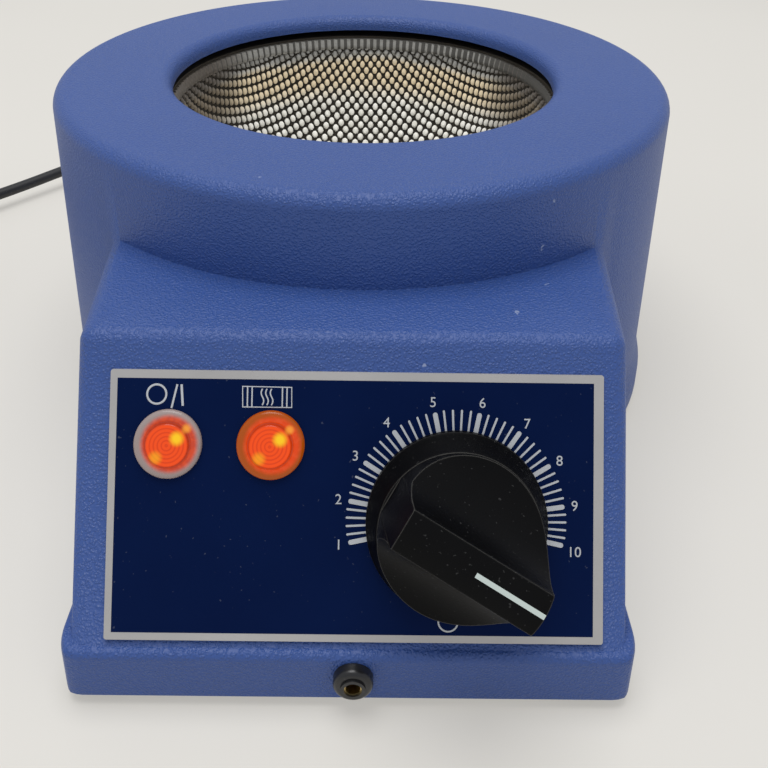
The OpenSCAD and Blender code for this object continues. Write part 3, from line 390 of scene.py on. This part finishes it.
# %% [markdown]
# The bowl's lining is a flat square wire mesh that was pressed into the bowl, corner up, so its meshes stay
# square at the bottom and draw together towards the rim. The same thing is done here: a flat grid, turned by
# 45 degrees and trimmed to a disc, is bent into the bowl, every point keeping its bearing and its distance
# along the sheet. The cloth and the wires are both made from this mesh, so they always match.

# %% Flat mesh, bent into the bowl
bowl_r, bowl_h = 66.5, 92
rim_r, rim_h = 68.75, 98.3
mesh_side, mesh_count = 3.7, 62
mesh_top = 94.4
trim_slack = 0.8
bowl_arc = bowl_r * pi / 2
wall_slant = hypot(rim_r - bowl_r, rim_h - bowl_h)
sheet_r = bowl_arc + (mesh_top - bowl_h) / (rim_h - bowl_h) * wall_slant


def flat_mesh():
    """A square grid in millimetres, turned corner up and trimmed to the sheet's disc."""
    bm = bmesh.new()
    bmesh.ops.create_grid(bm, x_segments=mesh_count, y_segments=mesh_count, size=mesh_count * mesh_side / 2,
                          matrix=Matrix.Rotation(radians(45), 4, "Z"))
    outside = [f for f in bm.faces if all(v.co.length > sheet_r - trim_slack for v in f.verts)]
    bmesh.ops.delete(bm, geom=outside, context="FACES")
    for v in bm.verts:
        if v.co.length > sheet_r:
            v.co *= sheet_r / v.co.length
    return bm


def bend_into_bowl(bm, sunk):
    """Bends a flat sheet in millimetres into the bowl; what stands up from it points at the bowl's middle."""
    for v in bm.verts:
        along, bearing, depth = hypot(v.co.x, v.co.y), atan2(v.co.y, v.co.x), sunk - v.co.z
        if along < bowl_arc:
            r = (bowl_r + depth) * sin(along / bowl_r)
            z = bowl_h - (bowl_r + depth) * cos(along / bowl_r)
        else:
            share = (along - bowl_arc) / wall_slant
            r = bowl_r + depth + share * (rim_r - bowl_r)
            z = bowl_h + share * (rim_h - bowl_h)
        v.co = place(r * cos(bearing), r * sin(bearing), z)


print("sheet of", round(sheet_r, 1), "mm radius")

# %% [markdown]
# A bmesh is only a workshop: the shape has to go into a mesh, and the mesh into an object. Every piece takes
# the same steps, so one function does them. It turns the faces outwards, shades the piece smooth up to an
# angle, gives it its finish, lets it ride on its body and hides the CAD nodes that it stands for.


def make_piece(name, bm, slot, body="mantle", stands_for=(), sharp=30, smooth=True):
    """Makes an object at the origin from a bmesh in metres, with its finish, and lets it ride on a body."""
    mesh = bpy.data.meshes.new(name)
    bmesh.ops.recalc_face_normals(bm, faces=bm.faces)
    bm.to_mesh(mesh)
    bm.free()
    piece = bpy.data.objects.new(name, mesh)
    scene.collection.objects.link(piece)
    if smooth:
        mesh.shade_smooth()
        mesh.set_sharp_from_angle(angle=radians(sharp))
    mesh.materials.append(finishes[slot])
    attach(piece, body)
    if stands_for:
        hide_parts(*stands_for)
    print(name, len(mesh.polygons), "faces", [round(side / MM, 1) for side in piece.dimensions], "mm")
    return piece


# %% [markdown]
# The cloth behind the wires bulges through each mesh. Two insets and a poke raise every face of the flat
# grid into a small cushion before it is bent, and one level of subdivision rounds the cushions off. What
# stays low between them lies in the shade, so it takes a second, dark material.

# %% Cushions of cloth
cloth_depth, gap_depth = 1.35, 0.15
bm = flat_mesh()
cells = list(bm.faces)
bmesh.ops.inset_individual(bm, faces=cells, thickness=0.18, depth=0.1)
bmesh.ops.inset_individual(bm, faces=cells, thickness=0.3, depth=0.8)
bmesh.ops.poke(bm, faces=cells, offset=0.4)
for face in bm.faces:
    face.material_index = 0 if face.calc_center_median().z > gap_depth else 1
bend_into_bowl(bm, cloth_depth)
cushions = make_piece("cloth_cushions", bm, "glass_cloth", sharp=180)
cushions.data.materials.append(finishes["cloth_gaps"])
rounding = cushions.modifiers.new("rounding", "SUBSURF")
rounding.levels = rounding.render_levels = 1

# %% [markdown]
# The wires are the same flat mesh, bent a little nearer to the bowl's middle than the cloth. The wireframe
# operator turns every edge into a square bar, which is round enough for a wire of half a millimetre. Its
# even offset is off, because that makes spikes where the trimmed edge has sharp corners.

# %% Wires of the screen
wire_depth, wire_d = 0.7, 0.5
bm = flat_mesh()
bend_into_bowl(bm, wire_depth)
bmesh.ops.wireframe(bm, faces=bm.faces, thickness=wire_d * MM, use_replace=True, use_boundary=True,
                    use_even_offset=False)
make_piece("screen_wires", bm, "screen_wire", stands_for=["mesh_screen"], sharp=60)

# %% [markdown]
# Above the screen the cloth is gathered into fine upright ribs, which run up under the clamp ring. A circle
# is extruded ring by ring, one unit higher each time, so that a point's height counts its ring. Then each
# point goes to its ring's own radius and height, and every second one is pulled out a little.

# %% Ribbed collar of cloth
def extruded(bm, edges, shift):
    """Extrudes edges, moves the new ones by shift, and gives them."""
    made = bmesh.ops.extrude_edge_only(bm, edges=edges)["geom"]
    bmesh.ops.translate(bm, verts=[part for part in made if isinstance(part, bmesh.types.BMVert)], vec=shift)
    return [part for part in made if isinstance(part, bmesh.types.BMEdge)]


rib_count, rib_depth = 150, 0.9
collar_steps = [(67.3, 98.2), (66.9, 96.8), (66.6, 95.6), (66.5, 94.6), (67.2, 93.8)]
bm = bmesh.new()
bmesh.ops.create_circle(bm, segments=2 * rib_count, radius=1)
ring = list(bm.edges)
for _ in collar_steps[1:]:
    ring = extruded(bm, ring, (0, 0, 1))
for v in bm.verts:
    r, z = collar_steps[round(v.co.z)]
    bearing = atan2(v.co.y, v.co.x)
    r += rib_depth * (round(bearing * rib_count / pi) % 2)
    v.co = place(r * cos(bearing), r * sin(bearing), z)
for face in bm.faces:
    middle = face.calc_center_median() / MM
    bearing = atan2(middle.y - axis_y, middle.x)
    face.material_index = int(bearing * rib_count / pi + 2 * rib_count) % 2
collar = make_piece("cloth_collar", bm, "glass_cloth", sharp=180)
collar.data.materials.append(finishes["cloth_folds"])

# %% [markdown]
# The panel's label is a printed film. Its plate comes from CAD with a satin silver finish; the navy field and
# the light marks are inks, so each is a very thin layer on top.

# %% Label finishes
def film_finish():
    f = Finish("silver_film")
    cloud, fine = f.noise(60, 3), f.noise(1900, 1)
    base = f.mix(cloud, (0.40, 0.39, 0.38), (0.51, 0.495, 0.48))
    return f.surface({"Base Color": base, "Metallic": 0.35, "Roughness": cloud * 0.1 + 0.38,
                      "Normal": f.bump(fine, 0.00001, 0.4)})


def navy_finish():
    f = Finish("navy_ink")
    cloud, specks = f.noise(35, 3), f.between(0.745, 0.80, f.noise(1100, 1))
    base = f.mix(cloud, (0.0012, 0.0065, 0.040), (0.0022, 0.0105, 0.058))
    base = f.mix(specks * 0.25, base, (0.15, 0.17, 0.22))
    return f.surface({"Base Color": base, "Roughness": cloud * 0.1 + 0.42, "Specular IOR Level": 0.03,
                      "Normal": f.bump(f.noise(500, 2), 0.00001, 0.3)})


finishes["label_navy"] = film_finish()
finishes["navy_ink"] = navy_finish()
finishes["light_ink"] = plain_finish("light_ink", (0.50, 0.52, 0.54), 0.5, 0, 1500, 0.00001, 0.12)
print("label finishes ready")

# %% [markdown]
# The navy ink covers the film up to a narrow silver border. A cube takes a matrix when it is made: here one
# matrix stretches it to the field's size and another lays it on the panel.

# %% Navy field
label_t = 0.6
left, right, top, bottom = -56.6, 58.3, 10.9, 70.85
bm = bmesh.new()
middle = panel((left + right) / 2, (top + bottom) / 2, label_t + 0.005)
span = Matrix.Diagonal((right - left, bottom - top, 0.05, 1))
bmesh.ops.create_cube(bm, size=MM, matrix=middle @ span)
make_piece("navy_field", bm, "navy_ink", smooth=False)

# %% [markdown]
# The dial has a bold tick at each number and four thin ones between. A tick is a flat cube whose upright
# edges are bevelled, so its ends are round. All the light ink is gathered in one bmesh, because it was
# printed in one go.

# %% Ticks of the dial
dial_u, dial_v = 25.3, 44
ink_h, ink_t = label_t + 0.045, 0.04
number_bearings = [191.7, 170, 148.3, 125.8, 101.9, 78, 54.5, 30.9, 8.2, -12]
parts = 5


def on_dial(bearing, reach):
    """Place across and down the panel of what lies on the dial."""
    return dial_u + reach * cos(radians(bearing)), dial_v - reach * sin(radians(bearing))


def add_bar(bm, middle, turn, length, width):
    """A flat bar of ink with rounded ends, lying on the panel."""
    shape = Matrix.Rotation(radians(turn), 4, "Z") @ Matrix.Diagonal((length, width, ink_t, 1))
    made = bmesh.ops.create_cube(bm, size=MM, matrix=middle @ shape)
    upright = {e for v in made["verts"] for e in v.link_edges if e.calc_length() < 2 * ink_t * MM}
    bmesh.ops.bevel(bm, geom=list(upright), offset=width * 0.45 * MM, segments=3, profile=0.5,
                    affect="EDGES", material=-1)


ink = bmesh.new()
ticks = [(start + (end - start) * k / parts, k == 0)
         for start, end in zip(number_bearings, number_bearings[1:]) for k in range(parts)]
for bearing, bold in [*ticks, (number_bearings[-1], True)]:
    inner, outer, width = (20.2, 26.3, 1.15) if bold else (20.6, 26.5, 0.5)
    middle = panel(*on_dial(bearing, (inner + outer) / 2), ink_h)
    add_bar(ink, middle, bearing, outer - inner, width)
print(len(ink.faces), "faces of ticks")

# %% [markdown]
# The digits are text in Blender's own font, and the symbols are lines with a round bevel. A text or a line is
# turned into a mesh first and then moved to its place, where a matrix also flattens the round lines onto the
# film. The symbols are a ring for off at the dial, a ring and a stroke for the mains, and a small heater.

# %% Digits and symbols
def add_mesh_of(data, bm, matrix):
    """Turns a text or curve into a mesh and adds it to the ink, put in its place."""
    mesh = bpy.data.meshes.new_from_object(bpy.data.objects.new("maker", data))
    mesh.transform(matrix)
    bm.from_mesh(mesh)
    bpy.data.meshes.remove(mesh)
    bpy.data.curves.remove(data)


millimetres = Matrix.Scale(MM, 4)


def add_digits(bm, text, u, v, height):
    """A number in ink; the font's digits are 0.73 of its size high."""
    words = bpy.data.curves.new("digits", "FONT")
    words.body, words.size = text, height / 0.73
    words.align_x = words.align_y = "CENTER"
    words.extrude = 0.02
    words.resolution_u = 4
    add_mesh_of(words, bm, panel(u, v, ink_h) @ millimetres)


def add_stroke(bm, points, width, closed=False):
    """A line of ink through points given in u and v."""
    stroke = bpy.data.curves.new("stroke", "CURVE")
    stroke.dimensions = "3D"
    stroke.bevel_depth, stroke.bevel_resolution, stroke.use_fill_caps = width / 2, 2, True
    spline = stroke.splines.new("POLY")
    spline.points.add(len(points) - 1)
    spline.use_cyclic_u = closed
    for knot, (u, v) in zip(spline.points, points):
        knot.co = (u, -v, 0, 1)
    flat = Matrix.Diagonal((MM, MM, MM * ink_t / width, 1))
    add_mesh_of(stroke, bm, panel(0, 0, ink_h) @ flat)


def ring_points(u, v, r, count=40):
    return [(u + r * cos(2 * pi * i / count), v + r * sin(2 * pi * i / count)) for i in range(count)]


digit_h = 2.5
number_places = [191.9, 170.4, 148.2, 126.3, 101.8, 77.8, 54, 30.4, 7.7, -13.9]
for number, bearing in enumerate(number_places, 1):
    add_digits(ink, str(number), *on_dial(bearing, 29.3 if number == 10 else 28.7), digit_h)
add_stroke(ink, ring_points(*on_dial(-94, 23.6), 2.35), 0.42, True)
add_stroke(ink, ring_points(-47.1, 14.7, 2.3), 0.5, True)
add_stroke(ink, [(-42.2, 12.3), (-43.5, 18.0)], 0.5)
add_stroke(ink, [(-41.2, 12.3), (-40.8, 17.4)], 0.6)

heater_line, heater_top, heater_foot = 0.34, 12.6, 17.5
wave_top, wave_h, wave_depth, wave_steps = 13.1, 3.9, 0.33, 12
add_stroke(ink, [(-26.5, heater_top), (-14.7, heater_top + 0.1), (-14.6, heater_foot), (-26.4, heater_foot)],
           heater_line, True)
for u in (-25.3, -24.2, -16.9, -15.8):
    add_stroke(ink, [(u, heater_top), (u, heater_foot)], heater_line)
for u in (-21.7, -20.6, -19.5):
    shares = [k / wave_steps for k in range(wave_steps + 1)]
    add_stroke(ink, [(u - wave_depth * sin(2 * pi * s), wave_top + wave_h * s) for s in shares], heater_line)
make_piece("light_print", ink, "light_ink", smooth=False)

# %% [markdown]
# Each indicator lamp is one moulded cap: a flat collar, a groove, and a window with fine rings that spread
# the light of the neon behind it. The glow is painted with emission, measured from the lamp's middle: a
# Mapping node moves the origin there and turns it flat on the panel. Round spots of colour with soft edges
# then make the collar, the halo, the groove, the window and the places where the neon shines through.

# %% Lamp finishes
mains_lamp_u, heat_lamp_u, lamp_v = -44.1, -19.5, 26.4
window_r, collar_r, ring_step = 4.9, 8.2, 0.95


def lamp_finish(name, u, collar, collar_glow, halo_glow, window_glow):
    f = Finish(name)
    back = panel(u, lamp_v).inverted()
    local = f.add("ShaderNodeMapping", None, {"Vector": f.object_place, "Location": back.translation,
                                              "Rotation": back.to_euler()})
    x = f.add("ShaderNodeSeparateXYZ", None, {"Vector": local})
    y = x.other("Y")

    def spot(at_x, at_y, soft, hard):
        """1 within the hard radius of a point, 0 outside the soft one."""
        return 1 - f.between(hard * MM, soft * MM, f.length(x - at_x * MM, y - at_y * MM))

    grit = f.noise(900, 3)
    window = spot(0, 0, window_r + 0.25, window_r - 0.1)
    halo = spot(0.5, 0.2, 7.4, 5.9)
    hot = spot(2.4, 1.7, 2.3, 0.5)
    low_hot = spot(-2.6, -2.9, 2.2, 0.4) * 0.45
    far_hot = spot(4.6, 3.9, 1.5, 0.3)
    groove = spot(0, 0, 5.8, 5.3) - window
    waves = f.add("ShaderNodeMath", {"operation": "SINE"}, {0: f.length(x, y) * (2 * pi / (ring_step * MM))})
    glow = f.mix(halo, collar_glow, halo_glow)
    glow = f.mix(f.between(0.42, 0.62, grit) * halo * 0.5, glow, (0.75, 0.09, 0.02))
    glow = f.mix(groove * 0.6, glow, (0.25, 0.018, 0.004))
    glow = f.mix(window, glow, window_glow)
    glow = f.mix(window * f.between(-0.2, 1, waves) * 0.45, glow, (0.45, 0.02, 0.001))
    glow = f.mix(far_hot * 0.8, glow, (1.0, 0.42, 0.04))
    glow = f.mix(hot + low_hot, glow, (1.0, 0.66, 0.01))
    return f.surface({"Base Color": f.mix(halo, collar, (0.12, 0.01, 0.002)), "Roughness": grit * 0.1 + 0.15,
                      "Specular IOR Level": 0.25, "Emission Color": glow, "Emission Strength": 0.85,
                      "Coat Weight": 0.15, "Coat Roughness": 0.08, "Normal": f.bump(grit, 0.00003, 0.4)})


finishes["clear_lens"] = lamp_finish(
    "clear_lens_lit", mains_lamp_u, collar=(0.31, 0.26, 0.245), collar_glow=(0.035, 0.014, 0.010),
    halo_glow=(0.52, 0.055, 0.022), window_glow=(0.90, 0.075, 0.003))
finishes["amber_lens"] = lamp_finish(
    "amber_lens_lit", heat_lamp_u, collar=(0.22, 0.04, 0.001), collar_glow=(0.22, 0.038, 0.0005),
    halo_glow=(0.72, 0.055, 0.001), window_glow=(0.92, 0.075, 0.001))
finishes["neon_glass"] = plain_finish("neon_glass", (0.9, 0.35, 0.12), 0.1, 0, 300, 0.00001, 0.05)
print("lamp finishes ready")

# %% [markdown]
# A cap is a body of revolution, so its half section is drawn once and spun round. The window's points rise
# and fall in turn, which gives it its rings, and its middle is a little higher than its edge.

# %% Lamp caps
window_rings, window_h, ring_depth, crown = 12, 2.62, 0.07, 0.12
collar_profile = [(5.15, 2.35), (5.25, 1.75), (5.6, 1.72), (5.85, 1.98), (7.3, 1.9), (7.85, 1.72),
                  (8.12, 1.4), (collar_r, 1.0), (collar_r, 0.66), (0, 0.66)]


def spun(outline, steps):
    """A bmesh in millimetres: a half section of radius and height, spun round the z axis."""
    bm = bmesh.new()
    made = [bm.verts.new((r, 0, h)) for r, h in outline]
    lines = [bm.edges.new(pair) for pair in zip(made, made[1:])]
    bmesh.ops.spin(bm, geom=made + lines, cent=(0, 0, 0), axis=(0, 0, 1), angle=2 * pi, steps=steps,
                   use_merge=True)
    bmesh.ops.remove_doubles(bm, verts=bm.verts, dist=0.0001)
    return bm


window_profile = []
for i in range(window_rings + 1):
    share = i / window_rings
    window_profile.append((window_r * share, window_h + ring_depth * (-1) ** i - crown * share ** 2))
for name, u, slot, node in (("mains_lamp_cap", mains_lamp_u, "clear_lens", "mains_lamp_lens"),
                            ("heat_lamp_cap", heat_lamp_u, "amber_lens", "heat_lamp_lens")):
    bm = spun(window_profile + collar_profile, 64)
    bm.transform(panel(u, lamp_v) @ millimetres)
    make_piece(name, bm, slot, stands_for=[node], sharp=50)

# %% [markdown]
# Some CAD solids have the right shape already and only need smooth shading. Their meshes are loose triangles,
# which would shade flat. A copy whose doubled points are merged can carry smooth sides and sharp edges, and
# it stands for the solid. The plug sits at the lead's end.

# %% Smooth copies of CAD solids
def smooth_copy(name, node, slot, body="mantle", sharp=30):
    """A copy of a CAD node with smooth shading, which stands for it."""
    bm = bmesh.new()
    bm.from_mesh(nodes[node].data)
    bmesh.ops.remove_doubles(bm, verts=bm.verts, dist=2e-6)
    return make_piece(name, bm, slot, body, [node], sharp=sharp)


smooth_copy("socket_ring", "jack_nut", "jack_black")
plug_moulding = smooth_copy("plug_moulding", "plug_body", "plug_black")

# %% [markdown]
# The knob is a hard black moulding with a fine sandblasted skin and a little dust. The thin bright line along
# each edge is light caught by a small radius. The Bevel node rounds the edges in the shading alone, which is
# enough for a radius of half a millimetre; where its rounded normal departs from the true one lies an edge,
# and there the black is painted a little paler, a painted highlight along each edge.

# %% Knob finish
def knob_finish():
    f = Finish("knob_phenolic")
    sand, cloud = f.noise(2200, 2), f.noise(60, 2)
    dust = f.between(0.70, 0.78, f.noise(1300, 1)) * 0.25
    base = f.mix(cloud, (0.0015, 0.0015, 0.0018), (0.003, 0.003, 0.0032))
    base = f.mix(dust * 0.7, base, (0.16, 0.16, 0.155))
    rounded = f.soft_edges(0.45)
    flat = f.add("ShaderNodeNewGeometry", give="Normal")
    likeness = f.add("ShaderNodeVectorMath", {"operation": "DOT_PRODUCT"}, {0: rounded, 1: flat},
                     give="Value")
    # Painted highlight: along each edge the black base colour is made paler.
    edges = f.between(0.005, 0.12, 1 - likeness)
    base = f.mix(edges * 0.75, base, (0.085, 0.082, 0.075))
    return f.surface({"Base Color": base, "Roughness": sand * 0.12 + 0.32, "Specular IOR Level": 0.09,
                      "Normal": f.bump(sand, 0.00006, 0.55, rounded)})


finishes["knob_black"] = knob_finish()
print("knob finish ready")

# %% [markdown]
# The knob is one moulding: a round skirt, and on it a bar between two scooped finger recesses, trimmed to a
# round grip. The skirt is a profile spun about the axis. The grip's top is drawn as one cross-section, drawn
# out along the bar, trimmed by a ring of planes and a slanting one at the tail, and its rim is then extruded
# down to the skirt, where it goes out to the full round again.

# %% Dial knob
skirt_profile = [(0, 8.6), (9.5, 8.6), (9.5, 1.2), (21.7, 1.2), (21.7, 2.8), (21.3, 3.3), (19.5, 9.7),
                 (19.1, 10.4), (18.5, 10.6), (0, 10.6)]
grip_r, grip_rim, knob_top = 19, 10.5, 28.5
bar_half, scoop_r = 4.9, 16
tail_x, tail_lean = -16, radians(10)
pointer_turn = radians(-30.6)
bm = spun(skirt_profile, 96)
bmesh.ops.recalc_face_normals(bm, faces=bm.faces)

grip = bmesh.new()
scoop = [(bar_half + scoop_r * (1 - cos(radians(t))), knob_top - 1 - scoop_r * sin(radians(t)))
         for t in range(85, -1, -5)]
half = scoop + [(bar_half, knob_top - 0.5), (bar_half - 0.15, knob_top - 0.15), (bar_half - 0.5, knob_top)]
section = half + [(-y, z) for y, z in reversed(half)]
line = [grip.verts.new((-grip_r - 1, y, z)) for y, z in section]
edges = [grip.edges.new(pair) for pair in zip(line, line[1:])]
extruded(grip, edges, (2 * grip_r + 2, 0, 0))


def trim(point, way):
    """Cuts off what lies beyond a plane."""
    bmesh.ops.bisect_plane(grip, geom=grip.verts[:] + grip.edges[:] + grip.faces[:], dist=1e-5,
                           plane_co=point, plane_no=way, clear_outer=True)


trim((tail_x, 0, knob_top), (-cos(tail_lean), 0, sin(tail_lean)))
for turn in range(0, 360, 5):
    way = Vector((cos(radians(turn)), sin(radians(turn)), 0))
    trim(way * grip_r, way)
rim = extruded(grip, [e for e in grip.edges if e.is_boundary], (0, 0, 0))
for v in {v for e in rim for v in e.verts}:
    if v.co.x < 0 and v.co.xy.length < grip_r - 0.05:
        v.co.x = -grip_r * cos(asin(v.co.y / grip_r))
    v.co.z = grip_rim
bmesh.ops.recalc_face_normals(grip, faces=grip.faces)
grip_mesh = bpy.data.meshes.new("grip")
grip.to_mesh(grip_mesh)
grip.free()
bm.from_mesh(grip_mesh)
bpy.data.meshes.remove(grip_mesh)
bm.transform(panel(dial_u, dial_v) @ Matrix.Rotation(pointer_turn, 4, "Z") @ millimetres)
make_piece("dial_knob", bm, "knob_black", "knob", ["control_knob"], sharp=32)

# %% [markdown]
# The case is one blue moulding, and its shape comes from CAD. A smooth copy of it gets two small corrections,
# made by moving points: the plinth stands out less at the sides of the housing, and the drum's top edge is
# rounded more tightly. A point on the old rounding keeps its angle and goes to the same angle on the new one.

# %% Moulded case
housing_half, plinth_top, drum_join = 67.3, 14.5, 76.5
plinth_share = 0.48
drum_r, case_h = 106, 108
cad_round, tight_round = 9, 4.5


def refine_case(mesh):
    """Slims the plinth and tightens the drum's top edge."""
    for v in mesh.vertices:
        x, y, z = v.co.x / MM, v.co.y / MM - axis_y, v.co.z / MM - foot_h
        if abs(x) > housing_half and z < plinth_top and y < -drum_join:
            v.co.x = copysign(housing_half + (abs(x) - housing_half) * plinth_share, x) * MM
        r = hypot(x, y)
        out, rise = r - drum_r + cad_round, z - case_h + cad_round
        if rise > -0.01 and abs(hypot(out, rise) - cad_round) < 0.05:
            angle = atan2(rise, out)
            new_r = drum_r - tight_round + tight_round * cos(angle)
            new_z = case_h - tight_round + tight_round * sin(angle)
            v.co = place(x / r * new_r, y / r * new_r, new_z)


moulded_case = smooth_copy("moulded_case", "outer_case", "case_blue", sharp=24)
refine_case(moulded_case.data)

# %% [markdown]
# Everything that is left keeps its CAD mesh and takes the finish that the record names for it, also what is
# hidden inside and shows when the base is off. Only the clamp ring differs: it takes the dark wire finish,
# painted shade for the dark gap under the lip.

# %% Finishes for the CAD nodes
mains_lead.data.materials.append(finishes["cord_rubber"])
# The clamp ring takes the dark wire finish as painted shade.
painted_shade_finishes = {"clamp_ring": "screen_wire"}
for row in frame["record"]["subparts"]:
    node = nodes[row["node"]]
    node.data.materials.clear()
    node.data.materials.append(finishes[painted_shade_finishes.get(row["node"], row["material_slot"])])

# %% [markdown]
# The mantle stands on a pale bench in even, soft light: a bright sky all round and one large lamp overhead.
# The bench is a stage piece, so it isn't part of the object. What the camera and mirror-like surfaces see of
# it has a little light of its own, so its shadows stay soft and pale. A Light Path node tells these rays from
# the ones that only carry light to the mantle.

# %% Stage and light
def floor_finish():
    f = Finish("pale_bench")
    cloud = f.noise(2.2, 2)
    pale = f.mix(cloud, (0.70, 0.68, 0.64), (0.80, 0.78, 0.74))
    grey = f.mix(cloud, (0.33, 0.32, 0.30), (0.40, 0.39, 0.365))
    lit = f.add("ShaderNodeBsdfDiffuse", None, {"Color": pale})
    seen = f.add("ShaderNodeBsdfDiffuse", None, {"Color": grey})
    glow = f.add("ShaderNodeEmission", None, {"Color": (0.375, 0.362, 0.335, 1), "Strength": 1})
    bright = f.add("ShaderNodeAddShader", None, {0: seen, 1: glow})
    path = f.add("ShaderNodeLightPath", give="Is Camera Ray")
    straight = path + path.other("Is Glossy Ray") + path.other("Is Transmission Ray")
    either = f.add("ShaderNodeMixShader", None, {0: straight, 1: lit, 2: bright})
    f.add("ShaderNodeOutputMaterial", None, {"Surface": either})
    return f.material


bench_half = 1.3
bm = bmesh.new()
bmesh.ops.create_grid(bm, x_segments=1, y_segments=1, size=bench_half)
floor_mesh = bpy.data.meshes.new("bench")
bm.to_mesh(floor_mesh)
bm.free()
floor_mesh.materials.append(floor_finish())
bench = bpy.data.objects.new("bench", floor_mesh)
scene.collection.objects.link(bench)

lamp_data = bpy.data.lights.new("overhead", "AREA")
lamp_data.shape = "DISK"
lamp_data.size = 1.1
lamp_data.energy = 13.5
overhead = bpy.data.objects.new("overhead", lamp_data)
scene.collection.objects.link(overhead)
overhead.location = (-0.1, -0.08, 1.5)
aim = Vector((0, 0, 0.05))
overhead.rotation_euler = (aim - overhead.location).to_track_quat("-Z", "Y").to_euler()

world = bpy.data.worlds.new("room")
scene.world = world
world.use_nodes = True
sky = world.node_tree.nodes["Background"].inputs
sky["Color"].default_value = (0.93, 0.95, 1.0, 1)
sky["Strength"].default_value = 0.64
print("stage ready")
